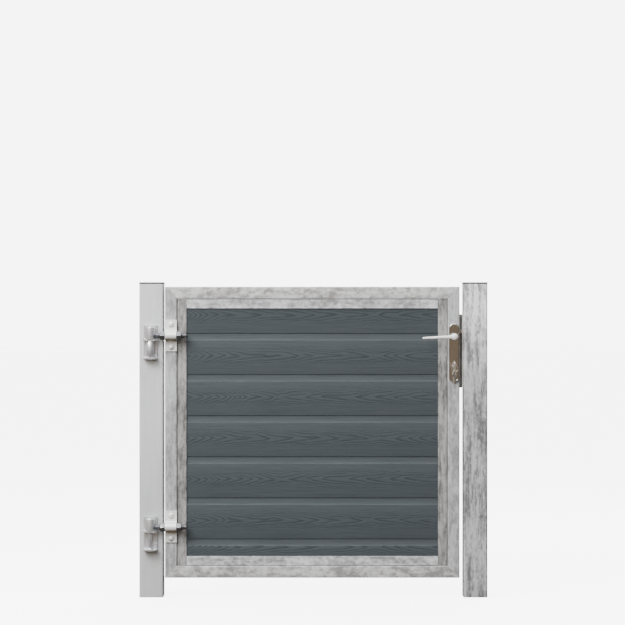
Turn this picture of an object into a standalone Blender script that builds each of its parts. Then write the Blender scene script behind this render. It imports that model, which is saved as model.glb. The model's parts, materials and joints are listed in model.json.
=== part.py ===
"""Garden gate: composite boards in a galvanised tube frame, hung between two galvanised posts.

Metres, +Z up. X runs along the gate, with the latch at +X. Y is the depth, with the front at -Y.
The origin is on the ground, midway between the posts, in the middle of the leaf's thickness.
"""

import math

import bmesh
import bpy
from mathutils import Matrix, Vector

# ---- driving dimensions ---------------------------------------------------------------------
GAP = 0.0003                # clearance where two pieces touch
PAST = 0.010                # how far a cut runs past what it cuts
OPENING_WIDTH = 1.000       # clear width between the posts
GROUND_GAP = 0.065          # ground to the leaf's lower edge
LEAF_HEIGHT = 0.970
LEAF_TUBE = 0.040           # side of the leaf's square tube
LEAF_WALL = 0.002
HINGE_GAP = 0.0055          # hinge post to leaf
LATCH_GAP = 0.013           # leaf to latch post

POST_SIDE = 0.080
POST_WALL = 0.003
POST_RADIUS = 0.006
POST_RISE = 0.010           # post top above the leaf's upper edge
CAP_RIM = 0.005             # thickness of the cap's flange
CAP_OVERHANG = 0.001
CAP_PLUG_DEPTH = 0.020
CAP_FIT = 0.0005            # cap plug to post wall
CAP_CROWN = 0.004           # how far the cap's top edge slopes in
CAP_UPRIGHT = 0.55          # upright share of the flange

CHANNEL_DEPTH = 0.030       # channel trim, front to back
CHANNEL_WALL = 0.002
SMALL_BEVEL = 0.0004
CHANNEL_SIDE = 0.0315       # seen width of the upright trims
CHANNEL_TOP = 0.032
CHANNEL_BOTTOM = 0.032

BOARD_THICKNESS = 0.022
BOARD_PITCH = 0.137
FIRST_JOINT = 0.130         # lowest joint between boards, above the leaf's lower edge
MIN_BOARD = 0.040           # the least height left for the top board
COVE_HEIGHT = 0.023
COVE_STEPS = 6
COVE_DEPTH = 0.0035
TONGUE_HEIGHT = 0.011
TONGUE_THICKNESS = 0.006
BOARD_PLAY = 0.0005         # play between tongue and groove
BOARD_END_PLAY = 0.004      # room for the boards to grow inside the channels

HINGE_DROP = 0.163          # upper rod axis below the leaf's upper edge
HINGE_RISE = 0.171          # lower rod axis above the leaf's lower edge
PIN_INSET = 0.042           # pin axis from the hinge post's inner face
PIN_REACH = 0.024           # pin axis in front of the post's face
PIN_RADIUS = 0.006
PIN_PLAY = 0.0003
PIN_HEAD_RADIUS = 0.009
PIN_HEAD_HEIGHT = 0.003
PIN_CHAMFER = 0.001
SPACER_RADIUS = 0.012       # thick middle of the upper pin
BARREL_RADIUS = 0.0155
BARREL_ABOVE = 0.027        # barrel top above the rod axis
BARREL_BELOW = 0.0125
ROD_RADIUS = 0.009
ROD_END_REACH = 0.121       # rod end from the pin axis
STRAP_WIDTH = 0.038
STRAP_INSET = 0.002         # strap edge from the leaf's edge
STRAP_HEIGHT = 0.105
STRAP_THICKNESS = 0.005
STRAP_ROD_PLAY = 0.0015
STRAP_BOLT_SPACING = 0.075
STRAP_BOLT_RADIUS = 0.005
STRAP_HEAD_RADIUS = 0.0095
STRAP_HEAD_HEIGHT = 0.006
BOLT_TAIL = 0.006           # bolt end past the leaf's rear face
NUT_FLATS = 0.027
NUT_THICKNESS = 0.016
BRACKET_WIDTH = 0.046
BRACKET_THICKNESS = 0.0045
BRACKET_ABOVE = 0.034       # bracket top above the rod axis
LOWER_LUG_BASE = 0.078      # bracket bottom below the rod axis
LUG_THICKNESS = 0.0045
LUG_NOSE = 0.013            # lug front past the pin axis
LUG_CORNER = 0.006
PIN_TAIL = 0.002            # pin below the lower lug
BRACKET_BOLT_FLATS = 0.015
BRACKET_BOLT_HEAD = 0.006
BRACKET_BOLT_RADIUS = 0.004
BRACKET_BOLT_INSET = 0.0155
BRACKET_BOLT_DROP = 0.060
BRACKET_SCREW_RISE = 0.015
SCREW_SINK_RADIUS = 0.0065  # head of the flush screw
SCREW_SINK_LAND = 0.0012    # plate left under the flush screw's head
BRACKET_SCREW_SHIFT = 0.002 # flush screw beside the pin axis
BRACKET_BOLT_LENGTH = 0.018

LOCK_DROP = 0.167           # spindle axis below the leaf's upper edge
BACKSET = 0.0185            # spindle axis from the leaf's edge
CYLINDER_DROP = 0.092       # spindle axis to cylinder axis
PLATE_WIDTH = 0.035
PLATE_ABOVE = 0.046
PLATE_BELOW = 0.152
PLATE_THICKNESS = 0.008
PLATE_RIM = 0.0025          # rounded edge of the plates
PLATE_SCREW_INSET = 0.0148
SCREW_RADIUS = 0.0022
SCREW_HEAD_RADIUS = 0.0045
SCREW_SINK = 0.0032         # depth of the screws' countersinks
SCREW_RUNOUT = 0.001        # from the countersink to the full shank
BLIND_WALL = 0.0015         # wall left over the screws' blind holes
SPINDLE_SIDE = 0.008
SPINDLE_PLAY = 0.0003
SPINDLE_SHARE = 0.7         # share of the neck that the spindle fills
SOCKET_SPARE = 0.05         # share of the neck left empty past the spindle
NECK_RADIUS = 0.0115
NECK_LENGTH = 0.026
NECK_SPIGOT_RADIUS = 0.0075
NECK_SPIGOT_LENGTH = 0.006
LEVER_LENGTH = 0.107
LEVER_DEPTH = 0.013
LEVER_ROOT_HEIGHT = 0.0115
LEVER_TIP_HEIGHT = 0.0075
LEVER_TIP_DROP = 0.0042
LEVER_ROOT_INSET = 0.004    # grip's start past the spindle axis
LEVER_END = 0.002           # length of the grip's rounded end
LEVER_ROOT_SHARE = 0.92     # the grip's depth at its root and tip, as shares of LEVER_DEPTH
LEVER_TIP_SHARE = 0.72
GRIP_SETBACK = 0.35         # grip's middle past the neck, as a share of LEVER_DEPTH
GRIP_SIDES = 14
GRIP_STEPS = 8
CASE_THICKNESS = 0.015
CASE_WALL = 0.001
CASE_DEPTH = 0.0345
CASE_ABOVE = 0.057
CASE_BELOW = 0.153
FOREND_WIDTH = 0.024
FOREND_THICKNESS = 0.003
FOREND_ABOVE = 0.075
FOREND_HEIGHT = 0.245
FOREND_CORNER = 0.004
FOLLOWER_RADIUS = 0.0085
FOLLOWER_BOSS = 0.0065      # radius of the follower's bosses in the case walls
FOLLOWER_REACH = 0.0195
FOLLOWER_ARM_WIDTH = 0.005
FOLLOWER_ARM_DEPTH = 0.009
FOLLOWER_REST_ANGLE = 25.0
LATCH_RISE = 0.019          # latch middle above the spindle axis
LATCH_HEIGHT = 0.015
LATCH_THICKNESS = 0.0115
LATCH_REACH = 0.003         # latch tip past the latch post's face
LATCH_HEAD_BACK = 0.0125    # back of the latch head past the spindle axis
LATCH_LEG_FACE = 0.0040     # face of the leg that the follower pushes, past the spindle axis
LATCH_LEG = 0.0035
LATCH_LEG_FOOT = 0.0165     # foot of the leg above the spindle axis
LATCH_SLOPE = 0.0085        # length of the slope on the latch tip
ARM_PLAY = 0.0007           # follower arm to the latch bar
SPRING_RADIUS = 0.0036
SPRING_WIRE = 0.00035       # radius of the spring's wire
SPRING_TURNS = 5
SPRING_END_GAP = 0.001
SPRING_RISE = 0.0015        # spring axis above the latch middle
DEADBOLT_RISE = 0.034       # deadbolt middle above the cylinder axis
DEADBOLT_HEIGHT = 0.030
DEADBOLT_LENGTH = 0.032
BOLT_FIT = 0.0010           # bolts to the holes they slide in
PROFILE_RADIUS = 0.0085     # round part of the cylinder's section
PROFILE_HEIGHT = 0.033
PROFILE_WEB = 0.010
CYLINDER_PROUD = 0.002      # cylinder end past the plate
PLUG_RADIUS = 0.0062
CAM_WIDTH = 0.009
CAM_RADIUS = 0.0135
CAM_TOOTH = 0.005
KEY_THICKNESS = 0.0022
KEY_BLADE_HEIGHT = 0.008
KEY_BLADE_DEPTH = 0.022
KEY_BOW_RADIUS = 0.0115
KEY_NECK = 0.006
KEY_HOLE_RADIUS = 0.0040
KEY_HOLE_EDGE = 0.0025      # metal left between the hole and the bow's edge
BLADE_SHARE = 0.98          # the blade's thickness, as a share of the bow's
RING_RADIUS = 0.011
RING_WIRE = 0.0008
SPARE_KEY_LENGTH = 0.044
SPARE_KEY_TURN = 40.0
STRIKE_THICKNESS = 0.003
STOP_TAB = 0.014            # reach of the stop tabs behind the leaf
STOP_GAP = 0.0015           # leaf's rear face to the stop tabs
STRIKE_MARGIN = 0.003       # room round the bolts in the strike
NOTCH_CLEARANCE = 0.002     # stop tabs to the rear plate

# ---- how finely round shapes are cut up ------------------------------------------------------
ROD_SIDES = 16
BORE_SIDES = 12
BARREL_SIDES = 24
HUB_SIDES = 20
HOLE_SIDES = 14
RING_STEPS = 28
RING_SIDES = 6
STRAP_STEPS = 12

# ---- places that follow from them -----------------------------------------------------------
LEAF_LEFT = -OPENING_WIDTH / 2 + HINGE_GAP
LEAF_RIGHT = OPENING_WIDTH / 2 - LATCH_GAP
LEAF_BASE = GROUND_GAP
LEAF_TOP = LEAF_BASE + LEAF_HEIGHT
LEAF_FRONT = -LEAF_TUBE / 2
LEAF_REAR = LEAF_TUBE / 2
INNER_LEFT = LEAF_LEFT + LEAF_TUBE
INNER_RIGHT = LEAF_RIGHT - LEAF_TUBE
INNER_BASE = LEAF_BASE + LEAF_TUBE
INNER_TOP = LEAF_TOP - LEAF_TUBE
POST_MIDDLE_Y = LEAF_FRONT + POST_SIDE / 2
POST_X = OPENING_WIDTH / 2 + POST_SIDE / 2
POST_TOP = LEAF_TOP + POST_RISE
PIN_X = -OPENING_WIDTH / 2 - PIN_INSET
PIN_Y = LEAF_FRONT - PIN_REACH
HINGE_HEIGHTS = {"upper": LEAF_TOP - HINGE_DROP, "lower": LEAF_BASE + HINGE_RISE}
STRAP_X = LEAF_LEFT + STRAP_INSET + STRAP_WIDTH / 2
LOCK_X = LEAF_RIGHT - BACKSET
LOCK_Z = LEAF_TOP - LOCK_DROP
CYLINDER_Z = LOCK_Z - CYLINDER_DROP
PLATE_TOP = LOCK_Z + PLATE_ABOVE
PLATE_BASE = LOCK_Z - PLATE_BELOW
PLATE_FRONT = LEAF_FRONT - GAP - PLATE_THICKNESS
PLATE_SCREW_HEIGHTS = {"upper": PLATE_TOP - PLATE_SCREW_INSET, "lower": PLATE_BASE + PLATE_SCREW_INSET}
FOREND_TOP = LOCK_Z + FOREND_ABOVE
FOREND_BASE = FOREND_TOP - FOREND_HEIGHT
LATCH_Z = LOCK_Z + LATCH_RISE
DEADBOLT_Z = CYLINDER_Z + DEADBOLT_RISE
STRIKE_FACE = OPENING_WIDTH / 2 - GAP - STRIKE_THICKNESS
LATCH_TIP = OPENING_WIDTH / 2 + LATCH_REACH
CASE_BACK = LEAF_RIGHT - GAP - CASE_DEPTH
CYLINDER_FRONT = PLATE_FRONT - CYLINDER_PROUD
KEY_HOLE_Y = CYLINDER_FRONT - KEY_NECK - 2 * KEY_BOW_RADIUS + KEY_HOLE_RADIUS + KEY_HOLE_EDGE
RING_TOP_Z = CYLINDER_Z - KEY_HOLE_RADIUS + RING_WIRE + GAP

# ---- materials: colour, roughness, metallic ---------------------------------------------------
FINISHES = {
    "galvanised": ((0.56, 0.57, 0.58), 0.5, 0.9),
    "zinc": ((0.72, 0.73, 0.74), 0.35, 1.0),
    "composite": ((0.095, 0.108, 0.115), 0.75, 0.0),
    "black_plastic": ((0.02, 0.02, 0.022), 0.5, 0.0),
    "stainless": ((0.62, 0.58, 0.53), 0.25, 1.0),
    "nickel": ((0.70, 0.66, 0.60), 0.25, 1.0),
    "spring_steel": ((0.35, 0.35, 0.36), 0.4, 1.0),
}

parents = {}


def clear_scene():
    for found in list(bpy.data.objects):
        bpy.data.objects.remove(found, do_unlink=True)


def finish_material(node, finish):
    colour, roughness, metallic = FINISHES[finish]
    material = bpy.data.materials.new(f"{node}_{finish}")
    material.use_nodes = True
    shader = material.node_tree.nodes["Principled BSDF"]
    shader.inputs["Base Color"].default_value = (*colour, 1.0)
    shader.inputs["Roughness"].default_value = roughness
    shader.inputs["Metallic"].default_value = metallic
    return material


def joint_empty(name, place, parent=None):
    """An empty on a joint's axis, which carries the pieces that move on it."""
    empty = bpy.data.objects.new(name, None)
    bpy.context.scene.collection.objects.link(empty)
    start = Vector((0.0, 0.0, 0.0))
    if parent:
        empty.parent = parents[parent][0]
        start = parents[parent][1]
    empty.location = Vector(place) - start
    parents[name] = (empty, Vector(place))


def piece(name, mesh_data, finish, parent, place=(0.0, 0.0, 0.0)):
    """Turns a bmesh in local metres into a named object at a place in the world."""
    bmesh.ops.recalc_face_normals(mesh_data, faces=mesh_data.faces)
    mesh = bpy.data.meshes.new(name)
    mesh_data.to_mesh(mesh)
    mesh_data.free()
    mesh.shade_smooth()
    mesh.set_sharp_from_angle(angle=math.radians(35))
    made = bpy.data.objects.new(name, mesh)
    mesh.materials.append(finish_material(name, finish))
    bpy.context.scene.collection.objects.link(made)
    empty, start = parents[parent]
    made.parent = empty
    made.location = Vector(place) - start
    return made


def cutter(owner, mesh_data, operation="DIFFERENCE"):
    """Cuts a world-space shape out of a piece, or joins it on."""
    bmesh.ops.recalc_face_normals(mesh_data, faces=mesh_data.faces)
    mesh = bpy.data.meshes.new(f"{owner.name}_cutter")
    mesh_data.to_mesh(mesh)
    mesh_data.free()
    guide = bpy.data.objects.new(f"{owner.name}_cutter", mesh)
    guide.hide_render = True
    guide.display_type = "WIRE"
    bpy.context.scene.collection.objects.link(guide)
    boolean = owner.modifiers.new("cut", "BOOLEAN")
    boolean.operation = operation
    boolean.solver = "EXACT"
    boolean.object = guide


def bevel(owner, width, segments=1):
    modifier = owner.modifiers.new("edges", "BEVEL")
    modifier.width = width
    modifier.segments = segments
    modifier.limit_method = "ANGLE"
    modifier.angle_limit = math.radians(40)


# ---- outlines -------------------------------------------------------------------------------
def arc(centre, radius, start, end, steps):
    """Points on an arc in degrees, both ends included."""
    points = []
    for step in range(steps + 1):
        angle = math.radians(start + (end - start) * step / steps)
        points.append((centre[0] + radius * math.cos(angle), centre[1] + radius * math.sin(angle)))
    return points


def circle(centre, radius, sides):
    return arc(centre, radius, 0.0, 360.0 * (sides - 1) / sides, sides - 1)


def hexagon(centre, flats):
    return circle(centre, flats / math.sqrt(3), 6)


def rectangle(low, high):
    return [(low[0], low[1]), (high[0], low[1]), (high[0], high[1]), (low[0], high[1])]


def rounded_rectangle(low, high, radius, steps):
    points = []
    corners = (
        (high[0] - radius, high[1] - radius, 0.0),
        (low[0] + radius, high[1] - radius, 90.0),
        (low[0] + radius, low[1] + radius, 180.0),
        (high[0] - radius, low[1] + radius, 270.0),
    )
    for across, up, start in corners:
        points += arc((across, up), radius, start, start + 90.0, steps)
    return points


def plate_outline(middle, base, top, width, steps):
    """An upright plate with round ends."""
    radius = width / 2
    points = arc((middle, top - radius), radius, 0.0, 180.0, steps)
    points += arc((middle, base + radius), radius, 180.0, 360.0, steps)
    return points


def cylinder_profile(middle, axis_height, grow=0.0):
    """The section of a profile cylinder: a round barrel over a narrow web."""
    radius = PROFILE_RADIUS + grow
    half_web = PROFILE_WEB / 2 + grow
    side = math.degrees(math.asin(half_web / radius))
    web_centre = axis_height + PROFILE_RADIUS - PROFILE_HEIGHT + PROFILE_WEB / 2
    points = arc((middle, axis_height), radius, side - 90.0, 270.0 - side, 18)
    points += arc((middle, web_centre), half_web, 180.0, 360.0, 6)
    return points


# ---- solids ---------------------------------------------------------------------------------
AXES = {"X": (1, 2, 0), "Y": (0, 2, 1), "Z": (0, 1, 2)}


def at(point, depth, axis):
    """A point in space from an outline point and a depth along an axis."""
    first, second, along = AXES[axis]
    place = [0.0, 0.0, 0.0]
    place[first] = point[0]
    place[second] = point[1]
    place[along] = depth
    return place


def prism(outline, start, end, axis):
    """A closed solid: an outline carried along an axis."""
    made = bmesh.new()
    near = [made.verts.new(at(point, start, axis)) for point in outline]
    far = [made.verts.new(at(point, end, axis)) for point in outline]
    made.faces.new(near)
    made.faces.new(far)
    for index in range(len(outline)):
        after = (index + 1) % len(outline)
        made.faces.new((near[index], near[after], far[after], far[index]))
    return made


def loft(rings):
    """A closed solid through rings of the same number of points in space."""
    made = bmesh.new()
    rows = [[made.verts.new(point) for point in ring] for ring in rings]
    made.faces.new(rows[0])
    made.faces.new(rows[-1])
    for low, high in zip(rows, rows[1:]):
        for index in range(len(low)):
            after = (index + 1) % len(low)
            made.faces.new((low[index], low[after], high[after], high[index]))
    return made


def tube(outer, inner, start, end, axis):
    """An open-ended tube, whose ends may slant: start and end are functions of an outline point."""
    made = bmesh.new()
    rings = []
    for outline in (outer, inner):
        near = [made.verts.new(at(point, start(point), axis)) for point in outline]
        far = [made.verts.new(at(point, end(point), axis)) for point in outline]
        rings.append((near, far))
    count = len(outer)
    for index in range(count):
        after = (index + 1) % count
        for near, far in rings:
            made.faces.new((near[index], near[after], far[after], far[index]))
        for side in (0, 1):
            first, second = rings[0][side], rings[1][side]
            made.faces.new((first[index], first[after], second[after], second[index]))
    return made


def turned(profile, sides, centre, axis):
    """A solid of revolution about an axis through centre; profile holds (radius, distance along)."""
    made = bmesh.new()
    rows = []
    for radius, along in profile:
        ring = [at(point, along, axis) for point in circle((0.0, 0.0), radius, sides)]
        rows.append([made.verts.new(Vector(point) + Vector(centre)) for point in ring])
    made.faces.new(rows[0])
    made.faces.new(rows[-1])
    for low, high in zip(rows, rows[1:]):
        for index in range(sides):
            after = (index + 1) % sides
            made.faces.new((low[index], low[after], high[after], high[index]))
    return made


def rod(centre, radius, start, end, axis, sides=ROD_SIDES):
    return prism(circle(centre, radius, sides), start, end, axis)


# ---- posts ----------------------------------------------------------------------------------
def strike_holes():
    """Lowest and highest corner, in Y and Z, of the holes that the two bolts pass through."""
    half = LATCH_THICKNESS / 2 + STRIKE_MARGIN
    holes = []
    for middle, height in ((LATCH_Z, LATCH_HEIGHT), (DEADBOLT_Z, DEADBOLT_HEIGHT)):
        rise = height / 2 + STRIKE_MARGIN
        holes.append(((-half, middle - rise), (half, middle + rise)))
    return holes


def make_post(name, middle):
    half = POST_SIDE / 2
    low = (middle - half, POST_MIDDLE_Y - half)
    high = (middle + half, POST_MIDDLE_Y + half)
    inner_low = (low[0] + POST_WALL, low[1] + POST_WALL)
    inner_high = (high[0] - POST_WALL, high[1] - POST_WALL)
    outer = rounded_rectangle(low, high, POST_RADIUS, 3)
    inner = rounded_rectangle(inner_low, inner_high, POST_RADIUS - POST_WALL, 3)
    shape = tube(outer, inner, lambda point: 0.0, lambda point: POST_TOP, "Z")
    return piece(name, shape, "galvanised", "posts")


def make_cap(name, middle):
    half = POST_SIDE / 2 + CAP_OVERHANG
    base = POST_TOP + GAP
    lift = CAP_RIM * CAP_UPRIGHT
    rings = []
    plug = POST_SIDE / 2 - POST_WALL - CAP_FIT
    plug_low = (middle - plug, POST_MIDDLE_Y - plug)
    plug_high = (middle + plug, POST_MIDDLE_Y + plug)
    for inset, height in ((0.0, base), (0.0, base + lift), (CAP_CROWN, base + CAP_RIM - GAP)):
        low = (middle - half + inset, POST_MIDDLE_Y - half + inset)
        high = (middle + half - inset, POST_MIDDLE_Y + half - inset)
        outline = rounded_rectangle(low, high, POST_RADIUS, 3)
        rings.append([(across, deep, height) for across, deep in outline])
    cap = piece(name, loft(rings), "black_plastic", "posts")
    spigot = rounded_rectangle(plug_low, plug_high, POST_RADIUS - POST_WALL, 3)
    cutter(cap, prism(spigot, POST_TOP - CAP_PLUG_DEPTH, base + lift / 2, "Z"), "UNION")
    return cap


# ---- leaf frame -----------------------------------------------------------------------------
def make_leaf_tubes():
    """Four square tubes, mitred at the corners."""
    seam = GAP / 2
    half = LEAF_TUBE / 2
    wall = LEAF_WALL

    def left_end(point):
        return LEAF_BASE + (point[0] - LEAF_LEFT) + seam, LEAF_TOP - (point[0] - LEAF_LEFT) - seam

    def right_end(point):
        return LEAF_BASE + (LEAF_RIGHT - point[0]) + seam, LEAF_TOP - (LEAF_RIGHT - point[0]) - seam

    def base_end(point):
        return LEAF_LEFT + (point[1] - LEAF_BASE) + seam, LEAF_RIGHT - (point[1] - LEAF_BASE) - seam

    def top_end(point):
        return LEAF_LEFT + (LEAF_TOP - point[1]) + seam, LEAF_RIGHT - (LEAF_TOP - point[1]) - seam

    tubes = (
        ("hinge_stile", "Z", (LEAF_LEFT, -half), (INNER_LEFT, half), left_end),
        ("lock_stile", "Z", (INNER_RIGHT, -half), (LEAF_RIGHT, half), right_end),
        ("bottom_rail", "X", (-half, LEAF_BASE), (half, INNER_BASE), base_end),
        ("top_rail", "X", (-half, INNER_TOP), (half, LEAF_TOP), top_end),
    )
    made = {}
    for name, axis, low, high, ends in tubes:
        outer = rounded_rectangle(low, high, 2 * wall, 2)
        inner_low = (low[0] + wall, low[1] + wall)
        inner_high = (high[0] - wall, high[1] - wall)
        inner = rounded_rectangle(inner_low, inner_high, wall, 2)
        shape = tube(outer, inner, lambda p, e=ends: e(p)[0], lambda p, e=ends: e(p)[1], axis)
        made[name] = piece(name, shape, "galvanised", "leaf_hinge")
    return made


def channel_outline(width, flip):
    """A U section: its base on 0, its lips reaching width; flip turns it round."""
    half = CHANNEL_DEPTH / 2
    wall = CHANNEL_WALL
    outline = [(0, -half), (width, -half), (width, wall - half), (wall, wall - half),
               (wall, half - wall), (width, half - wall), (width, half), (0, half)]
    return [(-u if flip else u, v) for u, v in outline]


def make_channels():
    left = INNER_LEFT + GAP
    right = INNER_RIGHT - GAP
    base = INNER_BASE + GAP
    top = INNER_TOP - GAP
    for name, start, flip in (("hinge_side_channel", left, False), ("lock_side_channel", right, True)):
        outline = [(start + u, v) for u, v in channel_outline(CHANNEL_SIDE, flip)]
        made = piece(name, prism(outline, base, top, "Z"), "galvanised", "leaf_hinge")
        bevel(made, SMALL_BEVEL)
    between = (left + CHANNEL_SIDE + GAP, right - CHANNEL_SIDE - GAP)
    rows = (("bottom_channel", base, CHANNEL_BOTTOM, False), ("top_channel", top, CHANNEL_TOP, True))
    for name, start, width, flip in rows:
        outline = [(v, start + u) for u, v in channel_outline(width, flip)]
        made = piece(name, prism(outline, between[0], between[1], "X"), "galvanised", "leaf_hinge")
        bevel(made, SMALL_BEVEL)


# ---- boards ---------------------------------------------------------------------------------
def joint_lines():
    """Heights of the joints between boards, from the lowest up."""
    lines = [LEAF_BASE + FIRST_JOINT]
    highest = INNER_TOP - CHANNEL_TOP - MIN_BOARD
    while lines[-1] + BOARD_PITCH < highest:
        lines.append(lines[-1] + BOARD_PITCH)
    return lines


def board_outline(base, top, has_groove, has_tongue):
    """Section in (y, z) of one board: a groove under it, and a cove and a tongue on top."""
    front = -BOARD_THICKNESS / 2
    rear = BOARD_THICKNESS / 2
    tongue_front = front + COVE_DEPTH
    tongue_rear = tongue_front + TONGUE_THICKNESS
    outline = [(rear, base)]
    if has_groove:
        roof = base + TONGUE_HEIGHT + 2 * BOARD_PLAY
        outline += [(tongue_rear + BOARD_PLAY, base), (tongue_rear + BOARD_PLAY, roof),
                    (tongue_front - BOARD_PLAY, roof), (tongue_front - BOARD_PLAY, base)]
    outline.append((front, base))
    if has_tongue:
        lip = top - COVE_HEIGHT
        for step in range(COVE_STEPS + 1):
            angle = math.radians(90.0 * step / COVE_STEPS)
            deep = front + COVE_DEPTH * math.sin(angle)
            outline.append((deep, lip + COVE_HEIGHT * (1.0 - math.cos(angle))))
        outline += [(tongue_front, top + TONGUE_HEIGHT), (tongue_rear, top + TONGUE_HEIGHT),
                    (tongue_rear, top - BOARD_PLAY), (rear, top - BOARD_PLAY)]
    else:
        outline += [(front, top), (rear, top)]
    return outline


def make_boards():
    left = INNER_LEFT + CHANNEL_WALL + BOARD_END_PLAY
    right = INNER_RIGHT - CHANNEL_WALL - BOARD_END_PLAY
    floor = INNER_BASE + CHANNEL_WALL + 2 * GAP
    ceiling = INNER_TOP - CHANNEL_WALL - BOARD_END_PLAY
    lines = joint_lines()
    edges = [floor, *lines, ceiling]
    for index, (base, top) in enumerate(zip(edges, edges[1:])):
        outline = board_outline(base, top, index > 0, index < len(lines))
        shape = prism(outline, left, right, "X")
        piece(f"board_{index + 1}", shape, "composite", "leaf_hinge")


# ---- hinges ---------------------------------------------------------------------------------
def make_bracket(level, height, post):
    """A back plate on the post with two lugs that hold the pin."""
    back = LEAF_FRONT - GAP
    face = back - BRACKET_THICKNESS
    nose = PIN_Y - LUG_NOSE
    upper_top = height - BARREL_BELOW - GAP
    lower_top = height - LOWER_LUG_BASE + LUG_THICKNESS
    outline = [
        (back, height + BRACKET_ABOVE), (face, height + BRACKET_ABOVE),
        (face, upper_top), (nose, upper_top),
        (nose, upper_top - LUG_THICKNESS), (face, upper_top - LUG_THICKNESS),
        (face, lower_top), (nose, lower_top),
        (nose, lower_top - LUG_THICKNESS), (back, lower_top - LUG_THICKNESS),
    ]
    left = PIN_X - BRACKET_WIDTH / 2
    shape = prism(outline, left, left + BRACKET_WIDTH, "X")
    bracket = piece(f"{level}_bracket", shape, "zinc", "posts")
    for side in (-1, 1):
        edge = PIN_X + side * BRACKET_WIDTH / 2
        inside = edge - side * LUG_CORNER
        outside = edge + side * PAST
        slit = [(outside, nose - PAST), (outside, nose + LUG_CORNER), (edge, nose + LUG_CORNER),
                (inside, nose), (inside, nose - PAST)]
        cutter(bracket, prism(slit, lower_top - LUG_THICKNESS - PAST, upper_top + PAST, "Z"))
    reach = LOWER_LUG_BASE + PIN_TAIL
    hole = rod((PIN_X, PIN_Y), PIN_RADIUS + PIN_PLAY, height - reach - PAST, height, "Z")
    cutter(bracket, hole)
    bolts = bracket_bolt_places(height)
    for across, up in bolts.values():
        wide = BRACKET_BOLT_RADIUS + GAP
        wall_rear = LEAF_FRONT + POST_WALL
        cutter(bracket, rod((across, up), wide, face - PAST, back + PAST, "Y", BORE_SIDES))
        cutter(post, rod((across, up), wide, back - PAST, wall_rear + PAST, "Y", BORE_SIDES))
    across, up = bolts["screw"]
    land = back - SCREW_SINK_LAND
    flare = (SCREW_SINK_RADIUS - BRACKET_BOLT_RADIUS) / (land - face)
    lead = BRACKET_THICKNESS / 2
    sink = [(SCREW_SINK_RADIUS + GAP + flare * lead, face - lead), (BRACKET_BOLT_RADIUS + GAP, land)]
    cutter(bracket, turned(sink, 12, (across, 0.0, up), "Y"))


def bracket_bolt_places(height):
    """The hex bolt low on the right, and a flush screw behind the barrel."""
    return {
        "bolt": (PIN_X + BRACKET_BOLT_INSET, height - BRACKET_BOLT_DROP),
        "screw": (PIN_X - BRACKET_SCREW_SHIFT, height + BRACKET_SCREW_RISE),
    }


def make_bracket_bolts(level, height):
    face = LEAF_FRONT - GAP - BRACKET_THICKNESS
    end = face + BRACKET_BOLT_LENGTH
    across, up = bracket_bolt_places(height)["bolt"]
    head = prism(hexagon((across, up), BRACKET_BOLT_FLATS), face - BRACKET_BOLT_HEAD, face - GAP, "Y")
    bolt = piece(f"{level}_bracket_bolt", head, "zinc", "posts")
    shank = rod((across, up), BRACKET_BOLT_RADIUS, face - BRACKET_BOLT_HEAD / 2, end, "Y", BORE_SIDES)
    cutter(bolt, shank, "UNION")
    across, up = bracket_bolt_places(height)["screw"]
    core = BRACKET_BOLT_RADIUS - 2 * GAP
    profile = [(SCREW_SINK_RADIUS, face), (core, LEAF_FRONT - GAP - SCREW_SINK_LAND), (core, end)]
    shape = turned(profile, BORE_SIDES, (across, 0.0, up), "Y")
    piece(f"{level}_bracket_screw", shape, "zinc", "posts")


def make_pin(level, height):
    """The pin drops through the barrel and both lugs; the upper one is thicker between the lugs."""
    head_base = height + BARREL_ABOVE + GAP
    tail = height - LOWER_LUG_BASE - PIN_TAIL
    profile = [(PIN_RADIUS - PIN_CHAMFER, tail), (PIN_RADIUS, tail + PIN_CHAMFER)]
    if level == "upper":
        base = height - LOWER_LUG_BASE + LUG_THICKNESS + GAP
        top = height - BARREL_BELOW - LUG_THICKNESS - 2 * GAP
        profile += [(PIN_RADIUS, base), (SPACER_RADIUS, base), (SPACER_RADIUS, top), (PIN_RADIUS, top)]
    profile += [(PIN_RADIUS, head_base), (PIN_HEAD_RADIUS, head_base),
                (PIN_HEAD_RADIUS, head_base + PIN_HEAD_HEIGHT / 2),
                (PIN_RADIUS, head_base + PIN_HEAD_HEIGHT)]
    shape = turned(profile, ROD_SIDES, (PIN_X, PIN_Y, 0.0), "Z")
    piece(f"{level}_pin", shape, "zinc", "posts")


def make_eye_rod(level, height):
    """A barrel that turns on the pin, with a threaded rod to the leaf."""
    centre = (PIN_X, PIN_Y)
    outer = circle(centre, BARREL_RADIUS, BARREL_SIDES)
    inner = circle(centre, PIN_RADIUS + PIN_PLAY, BARREL_SIDES)
    base = height - BARREL_BELOW
    top = height + BARREL_ABOVE
    shape = tube(outer, inner, lambda point: base, lambda point: top, "Z")
    eye = piece(f"{level}_eye_rod", shape, "zinc", "leaf_hinge")
    start = PIN_X + (BARREL_RADIUS + PIN_RADIUS) / 2
    end = PIN_X + ROD_END_REACH
    shank = rod((PIN_Y, height), ROD_RADIUS, start, end, "X")
    cutter(eye, shank, "UNION")


def make_nuts(level, height):
    bore = ROD_RADIUS + GAP
    for name, start in (
        ("inner", STRAP_X - STRAP_WIDTH / 2 - GAP - NUT_THICKNESS),
        ("outer", STRAP_X + STRAP_WIDTH / 2 + GAP),
    ):
        shape = prism(hexagon((PIN_Y, height), NUT_FLATS), start, start + NUT_THICKNESS, "X")
        nut = piece(f"{level}_{name}_nut", shape, "zinc", "leaf_hinge")
        cutter(nut, rod((PIN_Y, height), bore, start - PAST, start + NUT_THICKNESS + PAST, "X"))


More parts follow.
